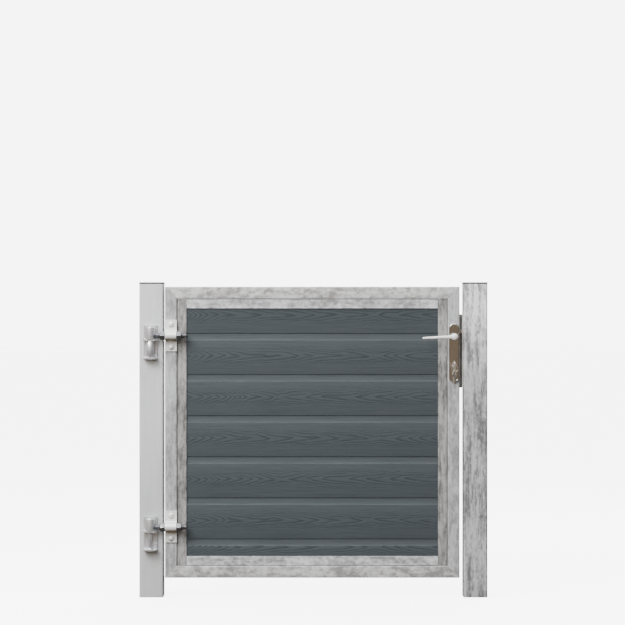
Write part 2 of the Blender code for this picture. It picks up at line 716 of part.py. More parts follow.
def make_strap(level, height):
    """A strap folded over the rod, with a bolt through each foot."""
    back = LEAF_FRONT - GAP
    foot = back - STRAP_THICKNESS
    inner = ROD_RADIUS + STRAP_ROD_PLAY
    outer = inner + STRAP_THICKNESS
    half = STRAP_HEIGHT / 2
    rise = arc((PIN_Y, height), outer, 270.0, 90.0, STRAP_STEPS)
    hollow = arc((PIN_Y, height), inner, 90.0, 270.0, STRAP_STEPS)
    outline = [(back, height - half), (foot, height - half), (foot, height - outer), *rise,
               (foot, height + outer), (foot, height + half), (back, height + half),
               (back, height + inner), *hollow, (back, height - inner)]
    left = STRAP_X - STRAP_WIDTH / 2
    strap = piece(f"{level}_strap", prism(outline, left, left + STRAP_WIDTH, "X"), "zinc", "leaf_hinge")
    for up in strap_bolt_heights(height).values():
        bore = rod((STRAP_X, up), STRAP_BOLT_RADIUS + GAP, foot - PAST, back + PAST, "Y", BORE_SIDES)
        cutter(strap, bore)


def strap_bolt_heights(height):
    return {"upper": height + STRAP_BOLT_SPACING / 2, "lower": height - STRAP_BOLT_SPACING / 2}


def make_strap_bolts(level, height, stile):
    foot = LEAF_FRONT - GAP - STRAP_THICKNESS
    for place, up in strap_bolt_heights(height).items():
        profile = []
        for angle in (75.0, 50.0, 25.0, 0.0):
            crown = STRAP_HEAD_HEIGHT * math.sin(math.radians(angle))
            profile.append((STRAP_HEAD_RADIUS * math.cos(math.radians(angle)), foot - GAP - crown))
        profile += [(STRAP_BOLT_RADIUS, foot - GAP), (STRAP_BOLT_RADIUS, LEAF_REAR + BOLT_TAIL)]
        shape = turned(profile, ROD_SIDES, (STRAP_X, 0.0, up), "Y")
        piece(f"{level}_strap_{place}_bolt", shape, "zinc", "leaf_hinge")
        through = (LEAF_FRONT - PAST, LEAF_REAR + PAST)
        cutter(stile, rod((STRAP_X, up), STRAP_BOLT_RADIUS + GAP, *through, "Y", BORE_SIDES))


def make_hinges(hinge_post, stile):
    for level, height in HINGE_HEIGHTS.items():
        make_bracket(level, height, hinge_post)
        make_bracket_bolts(level, height)
        make_pin(level, height)
        make_eye_rod(level, height)
        make_nuts(level, height)
        make_strap(level, height)
        make_strap_bolts(level, height, stile)


# ---- lock -----------------------------------------------------------------------------------
def cut_lock_stile(stile):
    """The slot for the case in the stile's edge, and the holes through its front and rear."""
    half = CASE_THICKNESS / 2 + BOLT_FIT
    slot = rectangle((-half, LOCK_Z - CASE_BELOW - BOLT_FIT), (half, LOCK_Z + CASE_ABOVE + BOLT_FIT))
    cutter(stile, prism(slot, LEAF_RIGHT - 2 * LEAF_WALL, LEAF_RIGHT + PAST, "X"))
    through = (LEAF_FRONT - PAST, LEAF_REAR + PAST)
    cutter(stile, rod((LOCK_X, LOCK_Z), NECK_SPIGOT_RADIUS + 2 * BOLT_FIT, *through, "Y", HUB_SIDES))
    cutter(stile, prism(cylinder_profile(LOCK_X, CYLINDER_Z, BOLT_FIT), *through, "Y"))
    for up in PLATE_SCREW_HEIGHTS.values():
        cutter(stile, rod((LOCK_X, up), SCREW_RADIUS + BOLT_FIT, *through, "Y", BORE_SIDES))


def make_case():
    """A pressed tray that holds the works, with a flat cover behind."""
    half = CASE_THICKNESS / 2
    back = CASE_BACK
    front = LEAF_RIGHT - GAP
    base = LOCK_Z - CASE_BELOW
    top = LOCK_Z + CASE_ABOVE
    rear_face = half - CASE_WALL - GAP
    tray = piece("lock_case", prism(rectangle((back, base), (front, top)), -half, rear_face, "Y"),
                 "zinc", "leaf_hinge")
    hollow = rectangle((back + CASE_WALL, base + CASE_WALL), (front - CASE_WALL, top - CASE_WALL))
    cutter(tray, prism(hollow, -half + CASE_WALL, half, "Y"))
    lid = prism(rectangle((back, base), (front, top)), half - CASE_WALL, half, "Y")
    cover = piece("lock_case_cover", lid,
                  "zinc", "leaf_hinge")
    edge = (front - 2 * CASE_WALL, front + PAST)
    cutter(tray, prism(bolt_section(LATCH_Z, LATCH_HEIGHT), *edge, "X"))
    cutter(tray, prism(bolt_section(DEADBOLT_Z, DEADBOLT_HEIGHT), *edge, "X"))
    through = (-half - PAST, half + PAST)
    for shell in (tray, cover):
        cutter(shell, rod((LOCK_X, LOCK_Z), FOLLOWER_BOSS + GAP, *through, "Y", HUB_SIDES))
        cutter(shell, prism(cylinder_profile(LOCK_X, CYLINDER_Z, BOLT_FIT / 2), *through, "Y"))
        for up in PLATE_SCREW_HEIGHTS.values():
            cutter(shell, rod((LOCK_X, up), SCREW_RADIUS + BOLT_FIT / 2, *through, "Y", BORE_SIDES))


def bolt_section(middle, height):
    half = LATCH_THICKNESS / 2 + BOLT_FIT / 2
    rise = height / 2 + BOLT_FIT / 2
    return rectangle((-half, middle - rise), (half, middle + rise))


def make_forend():
    """The strip on the leaf's edge that the bolts come out of."""
    half = FOREND_WIDTH / 2
    outline = rounded_rectangle((-half, FOREND_BASE), (half, FOREND_TOP), FOREND_CORNER, 3)
    forend = piece("lock_forend", prism(outline, LEAF_RIGHT + GAP, LEAF_RIGHT + FOREND_THICKNESS, "X"),
                   "stainless", "leaf_hinge")
    reach = (LEAF_RIGHT - PAST, LEAF_RIGHT + FOREND_THICKNESS + PAST)
    cutter(forend, prism(bolt_section(LATCH_Z, LATCH_HEIGHT), *reach, "X"))
    cutter(forend, prism(bolt_section(DEADBOLT_Z, DEADBOLT_HEIGHT), *reach, "X"))


def make_latch():
    """The spring bolt: a head, a bar over the follower's arm, and a leg that the arm pushes."""
    low = LATCH_Z - LATCH_HEIGHT / 2
    high = LATCH_Z + LATCH_HEIGHT / 2
    head_back = LOCK_X + LATCH_HEAD_BACK
    bar_under = LOCK_Z + FOLLOWER_REACH + FOLLOWER_ARM_WIDTH / 2 + ARM_PLAY
    leg_face = LOCK_X + LATCH_LEG_FACE
    leg_back = leg_face - LATCH_LEG
    leg_foot = LOCK_Z + LATCH_LEG_FOOT
    outline = [(LATCH_TIP, low), (LATCH_TIP, high), (leg_back, high), (leg_back, leg_foot),
               (leg_face, leg_foot), (leg_face, bar_under), (head_back, bar_under), (head_back, low)]
    half = LATCH_THICKNESS / 2
    latch = piece("latch_bolt", prism(outline, -half, half, "Y"), "nickel", "latch_slide")
    past = LATCH_THICKNESS / 10
    slope = [(LATCH_TIP + past, -half + 2 * past), (LATCH_TIP + past, half + past),
             (LATCH_TIP - LATCH_SLOPE, half + past)]
    cutter(latch, prism(slope, low - PAST, high + PAST, "Z"))


def make_latch_spring():
    """A coil that pushes the latch bolt out."""
    start = CASE_BACK + CASE_WALL + SPRING_END_GAP
    end = LOCK_X + LATCH_LEG_FACE - LATCH_LEG - SPRING_END_GAP
    middle = LATCH_Z + SPRING_RISE
    steps = 10 * SPRING_TURNS
    sides = 5
    rows = []
    for step in range(steps + 1):
        angle = 2 * math.pi * SPRING_TURNS * step / steps
        along = start + (end - start) * step / steps
        row = []
        for side in range(sides):
            tilt = 2 * math.pi * side / sides
            reach = SPRING_RADIUS + SPRING_WIRE * math.cos(tilt)
            row.append((along + SPRING_WIRE * math.sin(tilt), reach * math.cos(angle),
                        middle + reach * math.sin(angle)))
        rows.append(row)
    made = loft(rows)
    piece("latch_spring", made, "spring_steel", "leaf_hinge")


def make_deadbolt():
    half = LATCH_THICKNESS / 2
    tip = LEAF_RIGHT + FOREND_THICKNESS - GAP
    low = (tip - DEADBOLT_LENGTH, DEADBOLT_Z - DEADBOLT_HEIGHT / 2)
    high = (tip, DEADBOLT_Z + DEADBOLT_HEIGHT / 2)
    deadbolt = piece("deadbolt", prism(rectangle(low, high), -half, half, "Y"), "nickel", "deadbolt_slide")
    bevel(deadbolt, SMALL_BEVEL)


def make_follower():
    """The hub on the spindle, with the arm that draws the latch bolt back."""
    inside = CASE_THICKNESS / 2 - CASE_WALL - 2 * GAP
    outside = CASE_THICKNESS / 2
    centre = (LOCK_X, LOCK_Z)
    profile = [(FOLLOWER_BOSS, -outside), (FOLLOWER_BOSS, -inside), (FOLLOWER_RADIUS, -inside),
               (FOLLOWER_RADIUS, inside), (FOLLOWER_BOSS, inside), (FOLLOWER_BOSS, outside)]
    shape = turned(profile, HUB_SIDES, (LOCK_X, 0.0, LOCK_Z), "Y")
    hub = piece("lock_follower", shape, "zinc", "lever_axis")
    half = FOLLOWER_ARM_WIDTH / 2
    tilt = math.radians(90.0 - FOLLOWER_REST_ANGLE)
    tip = (FOLLOWER_REACH, 0.0)
    root = FOLLOWER_RADIUS - half
    arm = [(root, -half)] + arc(tip, half, -90.0, 90.0, 6) + [(root, half)]
    turned_arm = [(centre[0] + u * math.cos(tilt) - v * math.sin(tilt),
                   centre[1] + u * math.sin(tilt) + v * math.cos(tilt)) for u, v in arm]
    cutter(hub, prism(turned_arm, -FOLLOWER_ARM_DEPTH / 2, FOLLOWER_ARM_DEPTH / 2, "Y"), "UNION")
    bore = square_at(centre, SPINDLE_SIDE / 2 + SPINDLE_PLAY)
    cutter(hub, prism(bore, -outside - PAST, outside + PAST, "Y"))


def square_at(centre, half):
    return rectangle((centre[0] - half, centre[1] - half), (centre[0] + half, centre[1] + half))


def make_spindle():
    reach = -PLATE_FRONT + NECK_LENGTH * SPINDLE_SHARE
    shape = prism(square_at((LOCK_X, LOCK_Z), SPINDLE_SIDE / 2), -reach, reach, "Y")
    piece("spindle", shape, "zinc", "lever_axis")


def make_plate(name, side):
    """A long plate with round ends; side is -1 in front and 1 behind."""
    near = side * (LEAF_REAR + GAP)
    far = side * (LEAF_REAR + GAP + PLATE_THICKNESS)
    rings = []
    slope = PLATE_RIM * 0.3
    levels = ((0.0, near), (0.0, far - side * PLATE_RIM), (slope, far - side * slope), (PLATE_RIM, far))
    for inset, depth in levels:
        outline = plate_outline(LOCK_X, PLATE_BASE + inset, PLATE_TOP - inset, PLATE_WIDTH - 2 * inset, 10)
        rings.append([(across, depth, up) for across, up in outline])
    plate = piece(name, loft(rings), "stainless", "leaf_hinge")
    ends = sorted((near - side * PAST, far + side * PAST))
    cutter(plate, rod((LOCK_X, LOCK_Z), NECK_SPIGOT_RADIUS + GAP, *ends, "Y", HUB_SIDES))
    cutter(plate, prism(cylinder_profile(LOCK_X, CYLINDER_Z, GAP), *ends, "Y"))
    for up in PLATE_SCREW_HEIGHTS.values():
        if side < 0:
            cutter(plate, rod((LOCK_X, up), SCREW_RADIUS + GAP, *ends, "Y", BORE_SIDES))
            flare = (SCREW_HEAD_RADIUS - SCREW_RADIUS) / SCREW_SINK
            lead = SCREW_SINK / 2
            mouth = SCREW_HEAD_RADIUS + GAP + flare * lead
            sink = [(mouth, far - lead), (SCREW_RADIUS + GAP, far + SCREW_SINK)]
            cutter(plate, turned(sink, ROD_SIDES, (LOCK_X, 0.0, up), "Y"))
        else:
            blind = (near - PAST, far - BLIND_WALL)
            cutter(plate, rod((LOCK_X, up), SCREW_RADIUS + GAP, *blind, "Y", BORE_SIDES))


def make_plate_screws():
    """Countersunk screws from the front plate into threaded holes in the rear plate."""
    end = LEAF_REAR + GAP + PLATE_THICKNESS - BLIND_WALL - 2 * GAP
    under = PLATE_FRONT + SCREW_SINK
    for level, up in PLATE_SCREW_HEIGHTS.items():
        profile = [(SCREW_HEAD_RADIUS, PLATE_FRONT), (SCREW_RADIUS - GAP, under),
                   (SCREW_RADIUS, under + SCREW_RUNOUT), (SCREW_RADIUS, end)]
        shape = turned(profile, ROD_SIDES, (LOCK_X, 0.0, up), "Y")
        piece(f"plate_{level}_screw", shape, "stainless", "leaf_hinge")


def make_lever(name, side):
    """A neck on the spindle, turned through a right angle into a tapered grip."""
    face = side * (LEAF_REAR + 2 * GAP + PLATE_THICKNESS)
    inner = face - side * NECK_SPIGOT_LENGTH
    outer = face + side * NECK_LENGTH
    middle = outer + side * LEVER_DEPTH * GRIP_SETBACK
    crown = side * LEVER_DEPTH
    profile = [(NECK_SPIGOT_RADIUS, inner), (NECK_SPIGOT_RADIUS, face), (NECK_RADIUS, face)]
    for narrow, rise in ((0.97, 0.0), (0.9, 0.45), (0.7, 0.75), (0.35, 0.95)):
        profile.append((NECK_RADIUS * narrow, outer + crown * rise))
    shape = turned(profile, HUB_SIDES, (LOCK_X, 0.0, LOCK_Z), "Y")
    lever = piece(name, shape, "stainless", "lever_axis")
    start = LOCK_X + LEVER_ROOT_INSET
    end = LOCK_X - LEVER_LENGTH + LEVER_END
    rings = []
    for step in range(GRIP_STEPS + 1):
        share = step / GRIP_STEPS
        drop = LEVER_TIP_DROP * share ** 1.5
        tall = LEVER_ROOT_HEIGHT + (LEVER_TIP_HEIGHT - LEVER_ROOT_HEIGHT) * share
        deep = LEVER_DEPTH * (LEVER_ROOT_SHARE + (LEVER_TIP_SHARE - LEVER_ROOT_SHARE) * share)
        rings.append(oval_ring(start + (end - start) * share, middle, LOCK_Z - drop, deep, tall))
    for reach, shrink in ((0.6, 0.8), (1.0, 0.45)):
        deep = LEVER_DEPTH * LEVER_TIP_SHARE * shrink
        tall = LEVER_TIP_HEIGHT * shrink
        rings.append(oval_ring(end - LEVER_END * reach, middle, LOCK_Z - LEVER_TIP_DROP, deep, tall))
    cutter(lever, loft(rings), "UNION")
    socket = sorted((inner - side * PAST, outer - side * NECK_LENGTH * (1.0 - SPINDLE_SHARE - SOCKET_SPARE)))
    cutter(lever, prism(square_at((LOCK_X, LOCK_Z), SPINDLE_SIDE / 2 + SPINDLE_PLAY), *socket, "Y"))


def oval_ring(along, middle, height, deep, tall):
    ring = []
    for across, up in circle((0.0, 0.0), 0.5, GRIP_SIDES):
        ring.append((along, middle + deep * across, height + tall * up))
    return ring


def make_cylinder():
    """A profile cylinder with a plug at each end and a cam between them."""
    front = CYLINDER_FRONT
    centre = (LOCK_X, CYLINDER_Z)
    shape = prism(cylinder_profile(*centre), front, -front, "Y")
    body = piece("cylinder_body", shape, "nickel", "leaf_hinge")
    cutter(body, rod(centre, PLUG_RADIUS + GAP, front - PAST, PAST - front, "Y", HUB_SIDES))
    half = CAM_WIDTH / 2
    side = 2 * PROFILE_RADIUS
    notch = rectangle((LOCK_X - side, CYLINDER_Z - CAM_RADIUS - 2 * GAP), (LOCK_X + side, CYLINDER_Z + side))
    cutter(body, prism(notch, -half - GAP, half + GAP, "Y"))
    plug = piece("cylinder_plug", rod(centre, PLUG_RADIUS, front, 0.0, "Y", HUB_SIDES), "nickel", "key_axis")
    slot_half = KEY_THICKNESS / 2 + GAP
    slot_rise = KEY_BLADE_HEIGHT / 2 + GAP
    slot = rectangle((LOCK_X - slot_half, CYLINDER_Z - slot_rise),
                     (LOCK_X + slot_half, CYLINDER_Z + slot_rise))
    cutter(plug, prism(slot, front - PAST, front + KEY_BLADE_DEPTH + 2 * GAP, "Y"))
    cutter(plug, rod(centre, PROFILE_RADIUS - GAP, -half, half, "Y", HUB_SIDES), "UNION")
    tooth_half = CAM_TOOTH / 2
    tooth = rectangle((LOCK_X - tooth_half, CYLINDER_Z - CAM_RADIUS), (LOCK_X + tooth_half, CYLINDER_Z))
    cutter(plug, prism(tooth, -half + GAP, half - GAP, "Y"), "UNION")
    rear = rod(centre, PLUG_RADIUS, half + GAP, -front, "Y", HUB_SIDES)
    rear_plug = piece("cylinder_rear_plug", rear, "nickel", "leaf_hinge")
    cutter(rear_plug, prism(slot, -front - KEY_BLADE_DEPTH, PAST - front, "Y"))


def key_disc(across, up):
    """The round outline of a key's bow."""
    return circle((across, up), KEY_BOW_RADIUS, BARREL_SIDES)


def make_key():
    """The key in the lock: its blade in the plug, its bow upright in front."""
    half = KEY_THICKNESS / 2
    thin = half * BLADE_SHARE
    bow_y = CYLINDER_FRONT - KEY_NECK - KEY_BOW_RADIUS
    blade = rectangle((bow_y + KEY_HOLE_RADIUS, CYLINDER_Z - KEY_BLADE_HEIGHT / 2),
                      (CYLINDER_FRONT + KEY_BLADE_DEPTH, CYLINDER_Z + KEY_BLADE_HEIGHT / 2))
    bow = prism(key_disc(bow_y, CYLINDER_Z), LOCK_X - half, LOCK_X + half, "X")
    key = piece("key", bow, "nickel", "key_axis")
    cutter(key, prism(blade, LOCK_X - thin, LOCK_X + thin, "X"), "UNION")
    hole = circle((KEY_HOLE_Y, CYLINDER_Z), KEY_HOLE_RADIUS, HOLE_SIDES)
    cutter(key, prism(hole, LOCK_X - PAST, LOCK_X + PAST, "X"))


def make_ring():
    """A key ring through the key's bow."""
    made = bmesh.new()
    centre = Vector((LOCK_X, KEY_HOLE_Y, RING_TOP_Z - RING_RADIUS))
    rows = []
    for step in range(RING_STEPS):
        angle = 2 * math.pi * step / RING_STEPS
        row = []
        for across, up in circle((0.0, 0.0), RING_WIRE, RING_SIDES):
            reach = RING_RADIUS + across
            offset = Vector((reach * math.sin(angle), up, reach * math.cos(angle)))
            row.append(made.verts.new(centre + offset))
        rows.append(row)
    for low, high in zip(rows, rows[1:] + rows[:1]):
        for side in range(RING_SIDES):
            after = (side + 1) % RING_SIDES
            made.faces.new((low[side], low[after], high[after], high[side]))
    piece("key_ring", made, "nickel", "spare_hinge")


def make_spare_key():
    """A second key that hangs on the ring, turned a little to the front."""
    ring_base = RING_TOP_Z - 2 * RING_RADIUS
    hole_z = ring_base - KEY_HOLE_RADIUS + RING_WIRE + GAP
    bow_z = hole_z + KEY_HOLE_RADIUS + KEY_HOLE_EDGE - KEY_BOW_RADIUS
    half = KEY_THICKNESS / 2
    thin = half * BLADE_SHARE
    turn = Matrix.Rotation(math.radians(90.0 - SPARE_KEY_TURN), 4, "Z")
    place = Matrix.Translation((LOCK_X, KEY_HOLE_Y, 0.0)) @ turn
    bow = prism(key_disc(0.0, bow_z), -half, half, "Y")
    bow.transform(place)
    spare = piece("spare_key", bow, "nickel", "spare_hinge")
    tip = bow_z + KEY_BOW_RADIUS - SPARE_KEY_LENGTH
    outline = rectangle((-KEY_BLADE_HEIGHT / 2, tip), (KEY_BLADE_HEIGHT / 2, bow_z))
    blade = prism(outline, -thin, thin, "Y")
    blade.transform(place)
    cutter(spare, blade, "UNION")
    hole = prism(circle((0.0, hole_z), KEY_HOLE_RADIUS, HOLE_SIDES), -PAST, PAST, "Y")
    hole.transform(place)
    cutter(spare, hole)


def make_strike(post):
    """A keeper plate on the latch post, with a tab behind the leaf above and below the rear plate."""
    face = STRIKE_FACE
    back = OPENING_WIDTH / 2 - GAP
    front_y = -FOREND_WIDTH / 2
    stop = LEAF_REAR + STOP_GAP
    tab = LEAF_RIGHT - STOP_TAB
    outline = [(back, front_y), (back, stop + STRIKE_THICKNESS), (tab, stop + STRIKE_THICKNESS),
               (tab, stop), (face, stop), (face, front_y)]
    strike = piece("strike_plate", prism(outline, FOREND_BASE, FOREND_TOP, "Z"), "stainless", "posts")
    beside = LOCK_X + PLATE_WIDTH / 2 + NOTCH_CLEARANCE
    notch = rectangle((tab - PAST, PLATE_BASE - NOTCH_CLEARANCE), (beside, PLATE_TOP + NOTCH_CLEARANCE))
    cutter(strike, prism(notch, stop - PAST, stop + STRIKE_THICKNESS + PAST, "Y"))
    for low, high in strike_holes():
        cutter(strike, prism(rectangle(low, high), face - PAST, back + PAST, "X"))
        cutter(post, prism(rectangle(low, high), back - PAST, OPENING_WIDTH / 2 + 2 * POST_WALL, "X"))


def make_lock(stile, latch_post):
    cut_lock_stile(stile)
    make_case()
    make_forend()
    make_latch()
    make_latch_spring()
    make_deadbolt()
    make_follower()
    make_spindle()
    make_plate("front_plate", -1)
    make_plate("rear_plate", 1)
    make_plate_screws()
    make_lever("front_lever", -1)
    make_lever("rear_lever", 1)
    make_cylinder()
    make_key()
    make_ring()
    make_spare_key()
    make_strike(latch_post)


def main():
    clear_scene()
    joint_empty("posts", (0.0, 0.0, 0.0))
    joint_empty("leaf_hinge", (PIN_X, PIN_Y, HINGE_HEIGHTS["lower"]))
    joint_empty("lever_axis", (LOCK_X, 0.0, LOCK_Z), "leaf_hinge")
    joint_empty("latch_slide", (LATCH_TIP, 0.0, LATCH_Z), "leaf_hinge")
    joint_empty("deadbolt_slide", (LEAF_RIGHT, 0.0, DEADBOLT_Z), "leaf_hinge")
    joint_empty("key_axis", (LOCK_X, CYLINDER_FRONT, CYLINDER_Z), "leaf_hinge")
    joint_empty("spare_hinge", (LOCK_X, KEY_HOLE_Y, RING_TOP_Z), "key_axis")
    hinge_post = make_post("hinge_post", -POST_X)
    latch_post = make_post("latch_post", POST_X)
    make_cap("hinge_post_cap", -POST_X)
    make_cap("latch_post_cap", POST_X)
    tubes = make_leaf_tubes()
    make_channels()
    make_boards()
    make_hinges(hinge_post, tubes["hinge_stile"])
    make_lock(tubes["lock_stile"], latch_post)


main()
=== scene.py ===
import json
import math

import bmesh
import bpy
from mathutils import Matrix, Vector


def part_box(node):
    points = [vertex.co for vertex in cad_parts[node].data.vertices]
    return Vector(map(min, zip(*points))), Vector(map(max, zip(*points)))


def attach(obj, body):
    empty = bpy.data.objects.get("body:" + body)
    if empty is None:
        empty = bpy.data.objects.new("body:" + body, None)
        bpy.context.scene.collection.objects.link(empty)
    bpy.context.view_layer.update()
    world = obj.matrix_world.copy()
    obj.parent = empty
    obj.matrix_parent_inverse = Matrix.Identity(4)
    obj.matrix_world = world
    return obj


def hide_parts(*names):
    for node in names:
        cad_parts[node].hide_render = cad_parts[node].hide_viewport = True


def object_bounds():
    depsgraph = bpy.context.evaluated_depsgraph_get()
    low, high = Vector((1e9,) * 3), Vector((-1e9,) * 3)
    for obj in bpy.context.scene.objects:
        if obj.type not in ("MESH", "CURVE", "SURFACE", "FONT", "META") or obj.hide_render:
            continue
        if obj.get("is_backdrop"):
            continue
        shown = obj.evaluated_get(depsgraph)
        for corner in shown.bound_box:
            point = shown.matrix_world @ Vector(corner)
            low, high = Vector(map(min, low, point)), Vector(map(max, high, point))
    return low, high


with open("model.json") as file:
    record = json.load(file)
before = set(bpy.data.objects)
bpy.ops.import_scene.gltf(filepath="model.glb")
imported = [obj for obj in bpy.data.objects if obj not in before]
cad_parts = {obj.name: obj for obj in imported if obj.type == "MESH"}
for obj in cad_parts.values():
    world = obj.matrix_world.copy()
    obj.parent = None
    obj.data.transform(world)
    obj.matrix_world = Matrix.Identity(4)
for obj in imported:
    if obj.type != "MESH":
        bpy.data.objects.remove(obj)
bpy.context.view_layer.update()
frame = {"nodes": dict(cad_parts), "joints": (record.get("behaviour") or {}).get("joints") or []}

nodes = frame["nodes"]
joints = {joint["name"]: joint for joint in frame["joints"]}

# ---- the view, in metres, with the sensor in millimetres ----------------------------------------
CAMERA_DISTANCE = 8.0
CAMERA_HEIGHT = 0.949
CAMERA_ASIDE = 0.003           # camera left of the gate's middle
VIEW_WIDTH = 2.081             # width seen in the gate's plane
SENSOR = 36.0
FLOOR_RADIUS = 60.0
FLOOR_DROP = 0.0005            # floor below the feet of the posts
BACKDROP_GLOW = 7.0
FLOOR_GLOW = 6.2

# ---- sizes of the fine shapes, in metres --------------------------------------------------------
GAP = 0.0003                   # play between pieces that touch

CAP_EDGE = 0.0012
CAP_PLUG_INSET = 0.0039
CAP_CORNER = 0.006
CAP_CORNER_LEAST = 0.002

COVE_HEIGHT = 0.023
COVE_DEPTH = 0.0026
TONGUE_HEIGHT = 0.011
TONGUE_THICKNESS = 0.006
BOARD_PLAY = 0.0003
BOARD_EDGE = 0.0005            # rounding of a board's lower edge
LIP_EDGE = 0.0009              # rounding where the flat face meets the cove
BOARD_COUNT = 7
COVE_STEPS = 14

ROD_RADIUS = 0.009
THREAD_PITCH = 0.0025
THREAD_DEPTH = 0.0009
THREAD_POINT = 0.002           # length over which the thread runs out
POINT_TAPER = 0.0012           # how far the rod thins there
ROD_SIDES = 18
BARREL_CHAMFER = 0.0012
BARREL_BORE = 0.0063
BARREL_SIDES = 40
NUT_FLATS = 0.027
NUT_BORE = 0.0092
NUT_BORE_LEAD = 0.0007         # widening of a nut's bore at its ends
NUT_LEAD_DEPTH = 0.0008
HEX_SIDES = 48
HEX_FACE = 0.965               # washer face of a hexagon, as a share of its flats
HEX_SLOPE = 1.7                # how steeply its corners are turned off

STRAP_THICKNESS = 0.005
STRAP_EDGE = 0.0009
STRAP_MOUTH = 0.002            # how far the strap's loop widens to its open back
STRAP_STEPS = 20
HOOK_FILLET = 0.0035
BOLT_RADIUS = 0.005
BOLT_TIP_RADIUS = 0.0042
BOLT_TIP_LENGTH = 0.001
BOLT_CROWN = 0.0062
BOLT_RIM = 0.0006
BOLT_SIDES = 32
WASHER_BORE = 0.0055
WASHER_RADIUS = 0.010
WASHER_THICKNESS = 0.0012
REAR_NUT_FLATS = 0.0165
REAR_NUT_BORE = 0.0052
REAR_NUT_START = 0.0013
REAR_NUT_INSET = 0.0008        # bolt end past its nut

PIN_RADIUS = 0.006
PIN_SLEEVE = 0.012             # thicker middle of the upper pin
PIN_SLEEVE_EDGE = 0.0008
PIN_HEAD = 0.009
PIN_HEAD_RIM = 0.0006
PIN_SIDES = 32
BRACKET_PLATE = 0.0045
LUG_WELD = 0.0016
WELD_STEPS = 40
WELD_INSET = 0.002
WELD_SINK = 0.0002
WELD_BASE = 0.0006
HEX_SHANK = 0.0038
HEX_SHANK_LENGTH = 0.018
HEX_DISH = 0.0004              # hollow in the middle of the bolt's head

RIM = 0.0040                   # rounded edge of the lock plates
RIM_STEPS = 7
RIM_SHOULDER = 0.0006
PLATE_DISH = 0.0004            # flat face of a lock plate below its rim
PLATE_STEPS = 24
LEVER_DROP = 0.0042            # tip of a lever below its axis
NECK_RADIUS = 0.0115
NECK_SIDES = 32
GRIP_START = 0.003             # root of the grip past the lever's axis
GRIP_INSET = 0.0078            # grip's middle in from the lever's outer face
GRIP_DEEP = 0.0125
GRIP_DEEP_LOSS = 0.0030
GRIP_TALL = 0.0128
GRIP_TALL_LOSS = 0.0056
GRIP_ROOT_GAIN = 0.0052
GRIP_TIP = 0.0036              # length of the grip's rounded end
GRIP_STEPS = 22
GRIP_SIDES = 24

GRAIN_AXIS = 0.061             # level line of the grain's points, above a board's base

PIN = Vector(joints["leaf_swing"]["pos_m"])
LEVER_AXIS = Vector(joints["lever_press"]["pos_m"])


# ---- node trees -----------------------------------------------------------------------------------
def wire(tree, target, value):
    """Sets a socket to a number, or links another socket to it."""
    if isinstance(value, bpy.types.NodeSocket):
        tree.links.new(value, target)
    else:
        target.default_value = value


def calculate(tree, operation, first, second=0.0):
    node = tree.nodes.new("ShaderNodeMath")
    node.operation = operation
    wire(tree, node.inputs[0], first)
    wire(tree, node.inputs[1], second)
    return node.outputs[0]


def noise(tree, place, scale, detail, roughness, shift=(0.0, 0.0, 0.0)):
    """Noise from 0 to 1 with a scale of its own along each axis, per metre."""
    stretch = tree.nodes.new("ShaderNodeMapping")
    stretch.inputs["Location"].default_value = shift
    stretch.inputs["Scale"].default_value = scale
    tree.links.new(place, stretch.inputs["Vector"])
    node = tree.nodes.new("ShaderNodeTexNoise")
    node.inputs["Scale"].default_value = 1.0
    node.inputs["Detail"].default_value = detail
    node.inputs["Roughness"].default_value = roughness
    tree.links.new(stretch.outputs["Vector"], node.inputs["Vector"])
    return node.outputs[0]


def remap(tree, value, low, high, new_low=0.0, new_high=1.0):
    node = tree.nodes.new("ShaderNodeMapRange")
    node.inputs["From Min"].default_value = low
    node.inputs["From Max"].default_value = high
    node.inputs["To Min"].default_value = new_low
    node.inputs["To Max"].default_value = new_high
    tree.links.new(value, node.inputs["Value"])
    return node.outputs["Result"]


def blend_colours(tree, share, first, second):
    node = tree.nodes.new("ShaderNodeMix")
    node.data_type = "RGBA"
    wire(tree, node.inputs[0], share)
    for target, value in ((node.inputs[6], first), (node.inputs[7], second)):
        wire(tree, target, value if isinstance(value, bpy.types.NodeSocket) else (*value, 1.0))
    return node.outputs[2]


def parts_of(tree, vector):
    """The x, y and z of a vector socket."""
    node = tree.nodes.new("ShaderNodeSeparateXYZ")
    tree.links.new(vector, node.inputs[0])
    return node.outputs


def add_bump(tree, shader, height, strength, distance):
    node = tree.nodes.new("ShaderNodeBump")
    node.inputs["Strength"].default_value = strength
    node.inputs["Distance"].default_value = distance
    tree.links.new(height, node.inputs["Height"])
    tree.links.new(node.outputs["Normal"], shader.inputs["Normal"])


def start_finish(name, metallic):
    material = bpy.data.materials.new(name)
    material.use_nodes = True
    tree = material.node_tree
    shader = tree.nodes["Principled BSDF"]
    shader.inputs["Metallic"].default_value = metallic
    place = tree.nodes.new("ShaderNodeTexCoord").outputs["Object"]
    return material, tree, shader, place


def sum_of(tree, *weighted):
    """The sum of (socket, weight) pairs, each taken about its middle, 0.5, plus 0.5."""
    total = None
    for value, weight in weighted:
        part = calculate(tree, "MULTIPLY", calculate(tree, "SUBTRACT", value, 0.5), weight)
        total = part if total is None else calculate(tree, "ADD", total, part)
    return calculate(tree, "ADD", total, 0.5)


# ---- finishes -------------------------------------------------------------------------------------
GALVANISED_METALLIC = 0.2
CLOUD_WEIGHT = 0.9
SPANGLE_SCALE = 130.0
SPANGLE_WEIGHT = 0.12
SEAM_CORE = 0.0012             # half-width of a joint's painted shade line, and where it has faded out
SEAM_EDGE = 0.0030
SEAM_SHADE = 0.3
AXIS_X = 0
AXIS_Z = 2


